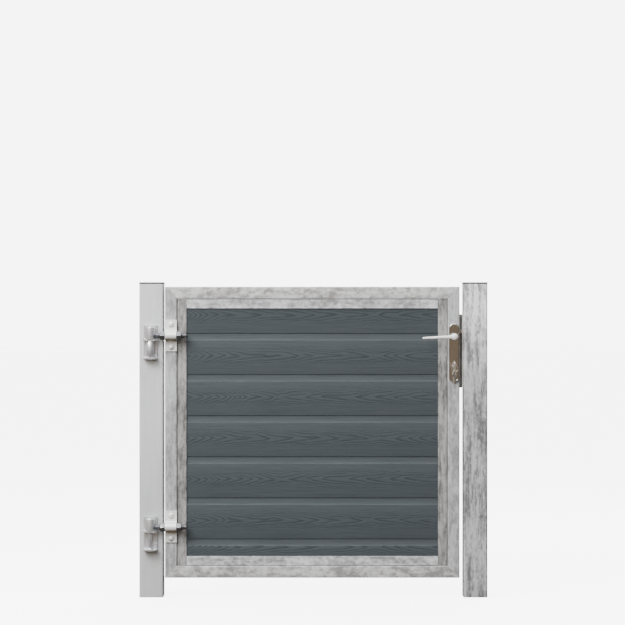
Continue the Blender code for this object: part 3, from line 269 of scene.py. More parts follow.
def galvanised(name, light, dark, streak, blotch, grain, contrast, shift, upright=True, fade=None,
               painted_joint_shade=()):
    """Hot-dip zinc: soft clouds, runs along the tube, blotches, and a fine crystal spangle.

    streak and blotch are weights, grain is the blotches for each metre, and contrast is the half-width
    of the tone's range. The runs and blotches are drawn out upwards, or else level across the gate.
    fade is (low height, high height, gain): painted light, how much brighter the zinc is painted at the
    high end, as if lit from above.
    The joint lines given as (axis, position) get painted shade, for the shadow in the gap between parts.
    shift moves the pattern.
    """
    material, tree, shader, place = start_finish(name, GALVANISED_METALLIC)
    runs = (70.0, 70.0, 6.0) if upright else (6.0, 70.0, 70.0)
    cells = (grain * 1.3, grain * 1.3, grain * 0.35) if upright else (grain * 0.6, grain, grain)
    clouds = noise(tree, place, (9.0, 9.0, 5.0), detail=4.0, roughness=0.6, shift=(shift, 0.0, 0.0))
    streaks = noise(tree, place, runs, detail=3.0, roughness=0.6, shift=(0.0, shift, 0.0))
    patches = noise(tree, place, cells, detail=3.0, roughness=0.65, shift=(0.0, 0.0, shift))
    flakes = tree.nodes.new("ShaderNodeTexVoronoi")
    flakes.inputs["Scale"].default_value = SPANGLE_SCALE
    tree.links.new(place, flakes.inputs["Vector"])
    flake_tone = tree.nodes.new("ShaderNodeSeparateColor")
    tree.links.new(flakes.outputs["Color"], flake_tone.inputs[0])
    tone = sum_of(tree, (clouds, CLOUD_WEIGHT), (streaks, streak), (patches, blotch),
                  (flake_tone.outputs[0], SPANGLE_WEIGHT))
    tone = remap(tree, tone, 0.5 - contrast, 0.5 + contrast)
    colour = blend_colours(tree, tone, dark, light)
    # painted light: the zinc is painted brighter towards the top, standing in for the light from above
    if fade:
        fade_base, fade_top, gain = fade
        brighter = [tuple(channel * gain for channel in shade) for shade in (dark, light)]
        height = remap(tree, parts_of(tree, place)[AXIS_Z], fade_base, fade_top)
        colour = blend_colours(tree, height, colour, blend_colours(tree, tone, *brighter))
    # painted shade: a dark line along each joint, standing in for the shadow in the gap between the parts
    for axis, position in painted_joint_shade:
        past = calculate(tree, "SUBTRACT", parts_of(tree, place)[axis], position)
        away = calculate(tree, "ABSOLUTE", past)
        unshaded = remap(tree, away, SEAM_CORE, SEAM_EDGE, SEAM_SHADE, 1.0)
        colour = blend_colours(tree, unshaded, (0.0, 0.0, 0.0), colour)
    tree.links.new(colour, shader.inputs["Base Color"])
    tree.links.new(remap(tree, tone, 0.0, 1.0, 0.46, 0.62), shader.inputs["Roughness"])
    add_bump(tree, shader, patches, strength=0.12, distance=0.0004)
    return material


def bright_zinc(name, colour, dull, roughness, metallic=0.85, below=None):
    """Electroplated zinc: nearly even, with faint clouds and rubbed marks.

    below is a painted shade for the faces that look down, if they have one: the shade and brown ground's
    reflection under them.
    """
    material, tree, shader, place = start_finish(name, metallic)
    clouds = noise(tree, place, (40.0, 40.0, 40.0), detail=4.0, roughness=0.6)
    rubs = noise(tree, place, (600.0, 600.0, 90.0), detail=2.0, roughness=0.5)
    tone = remap(tree, sum_of(tree, (clouds, 1.0), (rubs, 0.35)), 0.2, 0.8)
    shade = blend_colours(tree, tone, dull, colour)
    # painted shade: faces that look down are blended to a dark olive, for shade and the ground's reflection
    if below:
        facing = parts_of(tree, tree.nodes.new("ShaderNodeNewGeometry").outputs["Normal"])
        shade = blend_colours(tree, remap(tree, facing[AXIS_Z], -0.75, -0.3), below, shade)
    tree.links.new(shade, shader.inputs["Base Color"])
    gloss = remap(tree, clouds, 0.3, 0.7, roughness * 1.25, roughness * 0.8)
    tree.links.new(gloss, shader.inputs["Roughness"])
    add_bump(tree, shader, rubs, strength=0.12, distance=0.0002)
    return material


def brushed(name, light, dark, roughness, along=(900.0, 900.0, 25.0), metallic=0.9):
    """Satin metal with fine brush lines; along gives the lines for each metre on each axis."""
    material, tree, shader, place = start_finish(name, metallic)
    lines = noise(tree, place, along, detail=2.0, roughness=0.6)
    clouds = noise(tree, place, (60.0, 60.0, 25.0), detail=3.0, roughness=0.5)
    tone = remap(tree, sum_of(tree, (lines, 0.8), (clouds, 0.6)), 0.2, 0.8)
    tree.links.new(blend_colours(tree, tone, dark, light), shader.inputs["Base Color"])
    gloss = remap(tree, lines, 0.3, 0.7, roughness * 0.85, roughness * 1.2)
    tree.links.new(gloss, shader.inputs["Roughness"])
    add_bump(tree, shader, lines, strength=0.08, distance=0.0001)
    return material


def plastic(name, light, dark):
    """Moulded plastic with a fine matt grain."""
    material, tree, shader, place = start_finish(name, 0.0)
    grain = noise(tree, place, (1400.0, 1400.0, 1400.0), detail=2.0, roughness=0.5)
    clouds = noise(tree, place, (30.0, 30.0, 30.0), detail=3.0, roughness=0.6)
    tree.links.new(blend_colours(tree, clouds, dark, light), shader.inputs["Base Color"])
    tree.links.new(remap(tree, clouds, 0.3, 0.7, 0.6, 0.75), shader.inputs["Roughness"])
    shader.inputs["Specular IOR Level"].default_value = 0.3
    add_bump(tree, shader, grain, strength=0.15, distance=0.0002)
    return material


BOARD_DARK = (0.053, 0.0632, 0.0695)
BOARD_LIGHT = (0.061, 0.0715, 0.078)
# painted light: the cove's paler colour, for its slope that faces up
BOARD_COVE_PAINTED_LIGHT = (0.066, 0.0775, 0.084)
# painted highlight: the pale colour of a line along the lip's edge
BOARD_HIGHLIGHT_COLOUR = (0.12, 0.135, 0.145)
BOARD_CARVED = (0.033, 0.041, 0.0455)
LIP_HIGHLIGHT_SHARE = 0.55                # how much of the painted highlight shows along the lip
RING_WANDER = 0.0035           # how far a ring strays up or down, and along the board
RING_DRIFT = 0.045
RING_BLUNTNESS = 0.000003      # square of the nested points' rounding, in square metres
RING_RATE = 58.0               # rings for each metre up or down from the level line
RING_CROWDING = 2300.0
PHASE_START = 100.0


def composite(name, base, flat_front, lip, turn_x, left_rate, right_rate, crowd_x, crowd_rate, shift):
    """Wood-plastic board: growth rings embossed in its flat face, nested about one level line.

    turn_x is where the nested points change direction. The rates are rings for each metre along
    the board on either side of it, and crowd_rate is added left of crowd_x. lip is how far above
    the board's base its flat face ends and its cove starts; the cove is painted paler as painted
    light, and a painted highlight runs along the lip. base is the height of that base,
    flat_front is the depth of the flat face, and shift moves the pattern.
    """
    material, tree, shader, place = start_finish(name, 0.0)
    own = tree.nodes.new("ShaderNodeMapping")
    own.inputs["Location"].default_value = (shift, 0.0, -base)
    tree.links.new(place, own.inputs["Vector"])
    place = own.outputs["Vector"]
    sideways, depth, height = parts_of(tree, place)
    wander = noise(tree, place, (12.0, 1.0, 26.0), detail=2.0, roughness=0.5)
    drift = noise(tree, place, (5.0, 1.0, 3.0), detail=1.0, roughness=0.5, shift=(0.0, 0.0, 4.0))
    across = calculate(tree, "SUBTRACT", height, GRAIN_AXIS)
    across = calculate(tree, "ADD", across, remap(tree, wander, 0.3, 0.7, -RING_WANDER, RING_WANDER))
    along = calculate(tree, "ADD", sideways, remap(tree, drift, 0.3, 0.7, -RING_DRIFT, RING_DRIFT))
    from_turn = calculate(tree, "SUBTRACT", along, turn_x + shift)
    from_crowd = calculate(tree, "SUBTRACT", along, crowd_x + shift)
    left = calculate(tree, "MULTIPLY", calculate(tree, "MINIMUM", from_turn, 0.0), left_rate)
    right = calculate(tree, "MULTIPLY", calculate(tree, "MAXIMUM", from_turn, 0.0), -right_rate)
    crowd = calculate(tree, "MULTIPLY", calculate(tree, "MINIMUM", from_crowd, 0.0), crowd_rate)
    squared = calculate(tree, "MULTIPLY", across, across)
    arms = calculate(tree, "SQRT", calculate(tree, "ADD", squared, RING_BLUNTNESS))
    phase = calculate(tree, "ADD", calculate(tree, "ADD", left, right), crowd)
    phase = calculate(tree, "ADD", phase, calculate(tree, "MULTIPLY", arms, RING_RATE))
    phase = calculate(tree, "ADD", phase, calculate(tree, "MULTIPLY", squared, RING_CROWDING))
    phase = calculate(tree, "ADD", phase, calculate(tree, "MULTIPLY", wander, 0.5))
    ring = calculate(tree, "FRACT", calculate(tree, "ADD", phase, PHASE_START))
    line = calculate(tree, "MINIMUM", remap(tree, ring, 0.45, 0.86), remap(tree, ring, 1.0, 0.93))
    near_axis = remap(tree, arms, 0.016, 0.036, 1.0, 0.12)
    breaks = noise(tree, place, (22.0, 1.0, 120.0), detail=3.0, roughness=0.6, shift=(0.0, 0.0, 9.0))
    line = calculate(tree, "MULTIPLY", line, near_axis)
    line = calculate(tree, "MULTIPLY", line, remap(tree, breaks, 0.32, 0.52, 0.2, 0.85))
    on_flat = remap(tree, depth, flat_front + 0.0006, flat_front + 0.0002)
    line = calculate(tree, "MULTIPLY", line, on_flat)
    bands = noise(tree, place, (5.0, 1.0, 170.0), detail=2.0, roughness=0.55, shift=(2.0, 0.0, 0.0))
    fibres = noise(tree, place, (14.0, 1.0, 520.0), detail=3.0, roughness=0.6, shift=(5.0, 0.0, 0.0))
    pores = noise(tree, place, (60.0, 1.0, 1300.0), detail=2.0, roughness=0.6, shift=(0.0, 0.0, 7.0))
    carved = calculate(tree, "ADD", line, remap(tree, bands, 0.42, 0.7, 0.0, 0.3))
    carved = calculate(tree, "ADD", carved, remap(tree, fibres, 0.42, 0.75, 0.0, 0.3))
    carved = calculate(tree, "ADD", carved, remap(tree, pores, 0.5, 0.8, 0.0, 0.2))
    clouds = noise(tree, place, (5.0, 1.0, 5.0), detail=3.0, roughness=0.6, shift=(8.0, 0.0, 0.0))
    tone = blend_colours(tree, clouds, BOARD_DARK, BOARD_LIGHT)
    # painted light: the cove is painted paler, for its slope that faces up to the light
    in_cove = remap(tree, height, lip - 0.0002, lip + 0.0004)
    tone = blend_colours(tree, in_cove, tone, BOARD_COVE_PAINTED_LIGHT)
    # painted highlight: a pale line where the flat face meets the cove, for the light caught by that edge
    from_lip = calculate(tree, "ABSOLUTE", calculate(tree, "SUBTRACT", height, lip))
    lip_highlight = calculate(tree, "MULTIPLY", remap(tree, from_lip, 0.0018, 0.0008), LIP_HIGHLIGHT_SHARE)
    tone = blend_colours(tree, lip_highlight, tone, BOARD_HIGHLIGHT_COLOUR)
    tree.links.new(blend_colours(tree, carved, tone, BOARD_CARVED), shader.inputs["Base Color"])
    tree.links.new(remap(tree, carved, 0.0, 1.0, 0.62, 0.8), shader.inputs["Roughness"])
    shader.inputs["Specular IOR Level"].default_value = 0.3
    add_bump(tree, shader, calculate(tree, "SUBTRACT", 1.0, carved), strength=0.5, distance=0.0008)
    return material


# painted light: both posts are painted brighter towards their tops
GALVANISED_POST = galvanised(
    "galvanised_post", light=(0.635, 0.645, 0.65), dark=(0.545, 0.555, 0.565),
    streak=0.8, blotch=0.4, grain=90.0, contrast=0.3, shift=3.0, fade=(0.30, 0.60, 1.12))
# the latch post's weathered, streaked zinc, with painted light making it much brighter towards its top
GALVANISED_WEATHERED_PAINTED_LIGHT = galvanised(
    "galvanised_weathered_painted_light", light=(0.56, 0.565, 0.575), dark=(0.18, 0.18, 0.185),
    streak=1.5, blotch=1.1, grain=120.0, contrast=0.22, shift=7.0, fade=(0.72, 1.00, 1.85))
GALVANISED_TUBE = galvanised(
    "galvanised_tube", light=(0.54, 0.55, 0.56), dark=(0.29, 0.29, 0.295),
    streak=0.6, blotch=1.3, grain=75.0, contrast=0.2, shift=11.0)
GALVANISED_RAIL = galvanised(
    "galvanised_rail", light=(0.66, 0.66, 0.66), dark=(0.28, 0.275, 0.265),
    streak=0.5, blotch=1.4, grain=75.0, contrast=0.2, upright=False, shift=13.0)
# painted shade along the joints where the channels meet the leaf's tubes
GALVANISED_TRIM = galvanised(
    "galvanised_trim", light=(0.40, 0.39, 0.385), dark=(0.14, 0.133, 0.125),
    streak=0.9, blotch=1.1, grain=90.0, contrast=0.23, shift=17.0,
    painted_joint_shade=((AXIS_X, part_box("hinge_side_channel")[0].x), (AXIS_X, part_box("lock_side_channel")[1].x)))
GALVANISED_LEDGE = galvanised(
    "galvanised_ledge", light=(0.72, 0.73, 0.76), dark=(0.28, 0.278, 0.285),
    streak=0.7, blotch=1.1, grain=85.0, contrast=0.23, upright=False, shift=19.0,
    painted_joint_shade=((AXIS_Z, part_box("top_channel")[1].z), (AXIS_Z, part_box("bottom_channel")[0].z)))
ZINC = bright_zinc(
    "zinc", colour=(0.90, 0.91, 0.94), dull=(0.66, 0.66, 0.69), roughness=0.30, metallic=0.72)
ZINC_DARK = bright_zinc(
    "zinc_dark", colour=(0.30, 0.30, 0.32), dull=(0.15, 0.15, 0.16), roughness=0.36)
# painted shade: the downward faces of the strap and bolt heads are painted dark olive
ZINC_WHITE = bright_zinc(
    "zinc_white", colour=(0.98, 0.98, 0.97), dull=(0.92, 0.92, 0.90), roughness=0.32, metallic=0.30,
    below=(0.20, 0.175, 0.105))
STAINLESS = brushed(
    "stainless", light=(0.66, 0.63, 0.60), dark=(0.54, 0.52, 0.49), roughness=0.13, metallic=1.0)
PLAIN_STEEL = brushed(
    "plain_steel", light=(0.84, 0.83, 0.79), dark=(0.70, 0.69, 0.66), roughness=0.5, metallic=0.15)
SATIN_GRIP = brushed(
    "satin_grip", light=(0.98, 0.975, 0.95), dark=(0.91, 0.90, 0.875), roughness=0.40,
    along=(25.0, 900.0, 900.0), metallic=0.12)
NICKEL = brushed("nickel", light=(0.84, 0.80, 0.74), dark=(0.66, 0.62, 0.56), roughness=0.24)
SPRING = brushed("spring_wire", light=(0.36, 0.36, 0.37), dark=(0.22, 0.22, 0.23), roughness=0.35)
# painted shade: a darkened copy of the plain steel, for the forend in the shadow of the gap beside the
# latch post
STEEL_PAINTED_SHADE = brushed(
    "steel_painted_shade", light=(0.17, 0.17, 0.165), dark=(0.12, 0.12, 0.115), roughness=0.55, metallic=0.1)
BLACK = plastic("black_plastic", light=(0.022, 0.022, 0.024), dark=(0.010, 0.010, 0.011))


# ---- solids ---------------------------------------------------------------------------------------
AXES = {"X": (1, 2, 0), "Y": (0, 2, 1), "Z": (0, 1, 2)}


def at(point, depth, axis):
    first, second, along = AXES[axis]
    place = [0.0, 0.0, 0.0]
    place[first] = point[0]
    place[second] = point[1]
    place[along] = depth
    return Vector(place)


def arc(centre, radius, start, end, steps):
    points = []
    for step in range(steps + 1):
        angle = math.radians(start + (end - start) * step / steps)
        points.append((centre[0] + radius * math.cos(angle), centre[1] + radius * math.sin(angle)))
    return points


def ring_of(radius, sides):
    return [(radius * math.cos(2 * math.pi * side / sides), radius * math.sin(2 * math.pi * side / sides))
            for side in range(sides)]


def rounded_rectangle(low, high, radius, steps):
    points = []
    corners = ((high[0] - radius, high[1] - radius, 0.0), (low[0] + radius, high[1] - radius, 90.0),
               (low[0] + radius, low[1] + radius, 180.0), (high[0] - radius, low[1] + radius, 270.0))
    for across, up, start in corners:
        points += arc((across, up), radius, start, start + 90.0, steps)
    return points


def skin(rows, closed_ends=True, closed_round=False):
    """A solid through rows of points; closed_round joins the last row to the first."""
    made = bmesh.new()
    rings = [[made.verts.new(point) for point in row] for row in rows]
    if closed_ends:
        made.faces.new(rings[0])
        made.faces.new(rings[-1])
    pairs = list(zip(rings, rings[1:]))
    if closed_round:
        pairs.append((rings[-1], rings[0]))
    for low, high in pairs:
        for index in range(len(low)):
            after = (index + 1) % len(low)
            made.faces.new((low[index], low[after], high[after], high[index]))
    return made


def prism(outline, start, end, axis):
    return skin([[at(point, depth, axis) for point in outline] for depth in (start, end)])


def turned(profile, sides, centre, axis, closed_round=False):
    """Turns (radius, distance along) points about an axis through centre."""
    rows = [[at(point, along, axis) + Vector(centre) for point in ring_of(radius, sides)]
            for radius, along in profile]
    return skin(rows, not closed_round, closed_round)


def rounded_corner(outline, index, radius):
    """Replaces one corner of an outline with an arc tangent to its two sides."""
    before = Vector(outline[index - 1])
    corner = Vector(outline[index])
    after = Vector(outline[(index + 1) % len(outline)])
    to_before = (before - corner).normalized()
    to_after = (after - corner).normalized()
    half = to_before.angle(to_after) / 2
    reach = radius / math.tan(half)
    middle = corner + (to_before + to_after).normalized() * (radius / math.sin(half))
    start = corner + to_before * reach - middle
    end = corner + to_after * reach - middle
    points = []
    for step in range(5):
        direction = start.lerp(end, step / 4).normalized() * radius
        points.append(tuple(middle + direction))
    return points


# ---- pieces ---------------------------------------------------------------------------------------
def finish_piece(name, made, body, material, replaces=(), crease=32.0):
    """Turns a bmesh in the gate's frame into a named piece that rides on a body."""
    bmesh.ops.recalc_face_normals(made, faces=made.faces)
    mesh = bpy.data.meshes.new(name)
    made.to_mesh(mesh)
    made.free()
    mesh.shade_smooth()
    mesh.set_sharp_from_angle(angle=math.radians(crease))
    mesh.materials.append(material)
    piece = bpy.data.objects.new(name, mesh)
    bpy.context.scene.collection.objects.link(piece)
    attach(piece, body)
    if replaces:
        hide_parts(*replaces)
    return piece


def soft_edges(piece, width, segments=2, angle=38.0):
    modifier = piece.modifiers.new("soft_edges", "BEVEL")
    modifier.width = width
    modifier.segments = segments
    modifier.limit_method = "ANGLE"
    modifier.angle_limit = math.radians(angle)
    modifier.harden_normals = True


WELD_REACH = 0.00001


def refinish(node, material, width=0.0):
    """A CAD node that stays: its finish, smooth shading and softened edges."""
    found = nodes[node]
    mesh = found.data
    if "custom_normal" in mesh.attributes:
        mesh.attributes.remove(mesh.attributes["custom_normal"])
    mesh.materials.clear()
    mesh.materials.append(material)
    weld = found.modifiers.new("join_corners", "WELD")
    weld.merge_threshold = WELD_REACH
    mesh.shade_smooth()
    if width:
        soft_edges(found, width)
    smooth = found.modifiers.new("smooth", "WEIGHTED_NORMAL")
    smooth.keep_sharp = True


# ---- posts and leaf frame ---------------------------------------------------------------------------
def dress_frame():
    post_edge = 0.0006
    tube_edge = 0.0003
    refinish("hinge_post", GALVANISED_POST, post_edge)
    refinish("latch_post", GALVANISED_WEATHERED_PAINTED_LIGHT, post_edge)
    for node in ("hinge_stile", "lock_stile"):
        refinish(node, GALVANISED_TUBE, tube_edge)
    for node in ("top_rail", "bottom_rail"):
        refinish(node, GALVANISED_RAIL, tube_edge)
    for node in ("hinge_side_channel", "lock_side_channel"):
        refinish(node, GALVANISED_TRIM, tube_edge)
    for node in ("bottom_channel", "top_channel"):
        refinish(node, GALVANISED_LEDGE, tube_edge)


def build_caps():
    """Flat moulded caps with a rounded edge, over the posts."""
    for side in ("hinge", "latch"):
        low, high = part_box(f"{side}_post_cap")
        post_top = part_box(f"{side}_post")[1].z
        rows = []
        levels = [(CAP_PLUG_INSET, low.z), (CAP_PLUG_INSET, post_top + GAP), (0.0, post_top + GAP)]
        rim = high.z - CAP_EDGE
        for step in range(5):
            angle = math.radians(90.0 * step / 4)
            levels.append((CAP_EDGE * (1.0 - math.cos(angle)), rim + CAP_EDGE * math.sin(angle)))
        for inset, height in levels:
            corner = max(CAP_CORNER - inset * 0.6, CAP_CORNER_LEAST)
            near = (low.x + inset, low.y + inset)
            far = (high.x - inset, high.y - inset)
            outline = rounded_rectangle(near, far, corner, 6)
            rows.append([Vector((across, deep, height)) for across, deep in outline])
        finish_piece(f"{side}_post_cap_fine", skin(rows), "posts", BLACK,
                     (f"{side}_post_cap",))


# ---- boards -----------------------------------------------------------------------------------------
def board_outline(base, top, front, rear, has_groove, has_tongue):
    """Section in (y, z) with a smooth cove under the joint and slightly rounded edges."""
    tongue_front = front + COVE_DEPTH
    tongue_rear = tongue_front + TONGUE_THICKNESS
    outline = [(rear, base)]
    if has_groove:
        roof = base + TONGUE_HEIGHT + 2 * BOARD_PLAY
        outline += [(tongue_rear + BOARD_PLAY, base), (tongue_rear + BOARD_PLAY, roof),
                    (tongue_front - BOARD_PLAY, roof), (tongue_front - BOARD_PLAY, base)]
    outline += arc((front + BOARD_EDGE, base + BOARD_EDGE), BOARD_EDGE, 270.0, 180.0, 4)
    if not has_tongue:
        return outline + [(front, top), (rear, top)]
    lip = top - COVE_HEIGHT
    outline += arc((front + LIP_EDGE, lip - LIP_EDGE), LIP_EDGE, 180.0, 90.0, 4)
    for step in range(2, COVE_STEPS + 1):
        angle = math.radians(90.0 * step / COVE_STEPS)
        deep = front + COVE_DEPTH * math.sin(angle)
        outline.append((deep, lip + COVE_HEIGHT * (1.0 - math.cos(angle))))
    outline += [(tongue_front, top + TONGUE_HEIGHT), (tongue_rear, top + TONGUE_HEIGHT),
                (tongue_rear, top - BOARD_PLAY), (rear, top - BOARD_PLAY)]
    return outline


GRAIN_LEFT = {"turn_x": -0.127, "left_rate": 33.0, "right_rate": 13.5, "crowd_x": -0.30, "crowd_rate": 10.0}
GRAIN_RIGHT = {"turn_x": 0.222, "left_rate": 12.0, "right_rate": 20.0, "crowd_x": -0.27, "crowd_rate": 24.0}
PAST_ANY_BOARD = 1.0           # lip of the top board, which has no cove


def build_boards():
    """The boards, from the lowest; in the third and fifth the grain's points turn further left."""
    for number in range(1, BOARD_COUNT + 1):
        node = f"board_{number}"
        low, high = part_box(node)
        has_tongue = number < BOARD_COUNT
        top = high.z - TONGUE_HEIGHT if has_tongue else high.z
        outline = board_outline(low.z, top, low.y, high.y, number > 1, has_tongue)
        name = f"composite_{number}"
        lip = top - COVE_HEIGHT - low.z if has_tongue else PAST_ANY_BOARD
        grain = GRAIN_LEFT if number in (3, 5) else GRAIN_RIGHT
        material = composite(name, low.z, low.y, lip, **grain, shift=8.0 + 3.0 * number)
        board = prism(outline, low.x, high.x, "X")
        finish_piece(f"{node}_fine", board, "leaf", material, (node,))


# ---- hinges -----------------------------------------------------------------------------------------
def threaded_rod(axis_y, axis_z, radius, start, end):
    """Rows of points down a thread, with a pointed end."""
    per_turn = 6
    steps = int((end - start) / THREAD_PITCH * per_turn)
    rows = []
    for step in range(steps + 1):
        along = start + (end - start) * step / steps
        fade = min(1.0, (end - along) / THREAD_POINT)
        row = []
        for side in range(ROD_SIDES):
            angle = 2 * math.pi * side / ROD_SIDES
            turn = ((along - start) / THREAD_PITCH - side / ROD_SIDES) % 1.0
            depth = THREAD_DEPTH * (1.0 - abs(2.0 * turn - 1.0))
            reach = radius - depth - (1.0 - fade) * POINT_TAPER
            row.append(Vector((along, axis_y + reach * math.cos(angle), axis_z + reach * math.sin(angle))))
        rows.append(row)
    return rows


def build_eye_rod(level):
    """A bored barrel with a threaded rod welded to it."""
    node = f"{level}_eye_rod"
    low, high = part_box(node)
    radius = PIN.x - low.x
    bore = BARREL_BORE
    lead_out = 0.0006
    lead_up = 0.0004
    edge = BARREL_CHAMFER
    profile = [(bore, low.z + lead_up), (bore + lead_out, low.z), (radius - edge, low.z)]
    for step in range(1, 4):
        angle = math.radians(90.0 * step / 4)
        profile.append((radius - edge + edge * math.sin(angle), low.z + edge - edge * math.cos(angle)))
    profile += [(radius, low.z + edge), (radius, high.z - edge)]
    for step in range(1, 4):
        angle = math.radians(90.0 * step / 4)
        profile.append((radius - edge + edge * math.cos(angle), high.z - edge + edge * math.sin(angle)))
    profile += [(radius - edge, high.z), (bore + lead_out, high.z), (bore, high.z - lead_up)]
    barrel = turned(profile, BARREL_SIDES, (PIN.x, PIN.y, 0.0), "Z", closed_round=True)
    height = rod_height(level)
    thread_start = PIN.x + radius + 0.003
    weld_flare = ((0.0032, PIN.x + radius * 0.72), (0.0030, PIN.x + radius * 0.94),
                  (0.0016, PIN.x + radius + 0.0008), (0.0002, thread_start - 0.0006))
    rows = []
    for flare, along in weld_flare:
        ring = ring_of(ROD_RADIUS + flare, ROD_SIDES)
        rows.append([Vector((along, PIN.y + across, height + up)) for across, up in ring])
    rows += threaded_rod(PIN.y, height, ROD_RADIUS, thread_start, high.x)
    finish_piece(f"{node}_barrel", barrel, "leaf", ZINC, (node,), 40.0)
    finish_piece(f"{node}_thread", skin(rows), "leaf", ZINC_DARK, (), 40.0)


def rod_height(level):
    """The rod's axis is half way between the strap's two bolts."""
    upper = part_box(f"{level}_strap_upper_bolt")
    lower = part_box(f"{level}_strap_lower_bolt")
    return (upper[0].z + upper[1].z + lower[0].z + lower[1].z) / 4


def hexagon(flats, share, from_face):
    """Points round a hexagon whose corners are turned off to share of its flats at a face."""
    points = []
    for side in range(HEX_SIDES):
        angle = 2 * math.pi * side / HEX_SIDES
        corner = (angle % (math.pi / 3)) - math.pi / 6
        reach = min(flats / 2 / math.cos(corner), flats / 2 * share + from_face * HEX_SLOPE)
        points.append((reach * math.cos(angle), reach * math.sin(angle)))
    return points


def hex_nut(centre, flats, start, end, bore, axis):
    """A nut with its corners turned off at both ends and a bore through it."""
    middle = Vector(centre)
    chamfer = 0.07 * flats
    rows = []
    levels = [(start, 0.0), (start + chamfer * 0.3, chamfer * 0.3), (start + chamfer, chamfer),
              (end - chamfer, chamfer), (end - chamfer * 0.3, chamfer * 0.3), (end, 0.0)]
    for along, from_face in levels:
        rows.append([at(point, along, axis) + middle for point in hexagon(flats, HEX_FACE, from_face)])
    for along, widen in ((end, NUT_BORE_LEAD), (end - NUT_LEAD_DEPTH, 0.0),
                         (start + NUT_LEAD_DEPTH, 0.0), (start, NUT_BORE_LEAD)):
        rows.append([at(point, along, axis) + middle for point in ring_of(bore + widen, HEX_SIDES)])
    return skin(rows, False, True)


def build_nuts(level):
    height = rod_height(level)
    for place in ("inner", "outer"):
        node = f"{level}_{place}_nut"
        low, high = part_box(node)
        made = hex_nut((0.0, PIN.y, height), NUT_FLATS, low.x, high.x, NUT_BORE, "X")
        finish_piece(f"{node}_fine", made, "leaf", ZINC_DARK, (node,), 30.0)


def build_strap(level):
    """A strip bent over the rod, with a small fillet at the foot of each bend."""
    node = f"{level}_strap"
    low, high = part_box(node)
    height = (low.z + high.z) / 2
    back = high.y
    foot = back - STRAP_THICKNESS
    outer = PIN.y - low.y
    inner = outer - STRAP_THICKNESS
    half = (high.z - low.z) / 2
    rise_start = (foot, height - outer)
    outline = [(back, height - half), (foot, height - half)]
    outline += rounded_corner([(foot, height - half), rise_start, (PIN.y, height - outer)], 1, HOOK_FILLET)
    outline += arc((PIN.y, height), outer, 270.0, 90.0, STRAP_STEPS)
    outline += rounded_corner([(PIN.y, height + outer), (foot, height + outer), (foot, height + half)], 1,
                              HOOK_FILLET)
    outline += [(foot, height + half), (back, height + half), (back, height + inner + STRAP_MOUTH)]
    outline += arc((PIN.y, height), inner, 90.0, 270.0, STRAP_STEPS)
    outline += [(back, height - inner - STRAP_MOUTH)]
    piece = finish_piece(f"{node}_fine", prism(outline, low.x, high.x, "X"), "leaf", ZINC_WHITE,
                         (node,), 30.0)
    soft_edges(piece, STRAP_EDGE, segments=3, angle=50.0)


def build_strap_bolts(level):
    """Dome-head bolts through the stile, with a washer and a nut behind."""
    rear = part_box("hinge_stile")[1].y
    for place in ("upper", "lower"):
        node = f"{level}_strap_{place}_bolt"
        low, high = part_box(node)
        across = (low.x + high.x) / 2
        up = (low.z + high.z) / 2
        head = (high.x - low.x) / 2
        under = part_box(f"{level}_strap")[1].y - STRAP_THICKNESS - GAP
        dome = BOLT_CROWN - BOLT_RIM
        profile = []
        for step in range(9):
            angle = math.radians(88.0 * (1.0 - step / 8))
            profile.append((head * math.cos(angle), under - BOLT_RIM - dome * math.sin(angle)))
        profile += [(head, under), (BOLT_RADIUS, under), (BOLT_RADIUS, high.y - BOLT_TIP_LENGTH),
                    (BOLT_TIP_RADIUS, high.y)]
        centre = (across, 0.0, up)
        made = turned(profile, BOLT_SIDES, centre, "Y")
        finish_piece(f"{node}_fine", made, "leaf", ZINC_WHITE, (node,), 50.0)
        section = [(WASHER_BORE, rear + GAP), (WASHER_RADIUS, rear + GAP),
                   (WASHER_RADIUS, rear + WASHER_THICKNESS), (WASHER_BORE, rear + WASHER_THICKNESS)]
        washer = turned(section, BOLT_SIDES, centre, "Y", closed_round=True)
        finish_piece(f"{level}_strap_{place}_washer", washer, "leaf", ZINC)
        nut = hex_nut(centre, REAR_NUT_FLATS, rear + REAR_NUT_START, high.y - REAR_NUT_INSET,
                      REAR_NUT_BORE, "Y")
        finish_piece(f"{level}_strap_{place}_nut", nut, "leaf", ZINC, (), 30.0)


def build_pin(level):
    """A headed pin; the upper one has a sleeve between the lugs."""
    node = f"{level}_pin"
    low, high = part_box(node)
    barrel_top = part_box(f"{level}_eye_rod")[1].z
    radius = PIN_RADIUS
    profile = [(radius - 0.0016, low.z), (radius - 0.0004, low.z + 0.0006), (radius, low.z + 0.0014)]
    if level == "upper":
        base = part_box("upper_bracket")[0].z + BRACKET_PLATE + GAP
        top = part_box("upper_eye_rod")[0].z - GAP - BRACKET_PLATE - GAP
        edge = PIN_SLEEVE_EDGE
        profile += [(radius, base), (PIN_SLEEVE - edge, base), (PIN_SLEEVE, base + edge),
                    (PIN_SLEEVE, top - edge), (PIN_SLEEVE - edge, top), (radius, top)]
    head = barrel_top + GAP
    profile += [(radius, head), (PIN_HEAD - 0.0002, head), (PIN_HEAD, head + 0.0004)]
    dome = high.z - head - PIN_HEAD_RIM
    for step in range(5):
        angle = math.radians(80.0 * step / 4)
        profile.append((PIN_HEAD * math.cos(angle), head + PIN_HEAD_RIM + dome * math.sin(angle)))
    made = turned(profile, PIN_SIDES, (PIN.x, PIN.y, 0.0), "Z")
    finish_piece(f"{node}_fine", made, "posts", ZINC, (node,), 50.0)


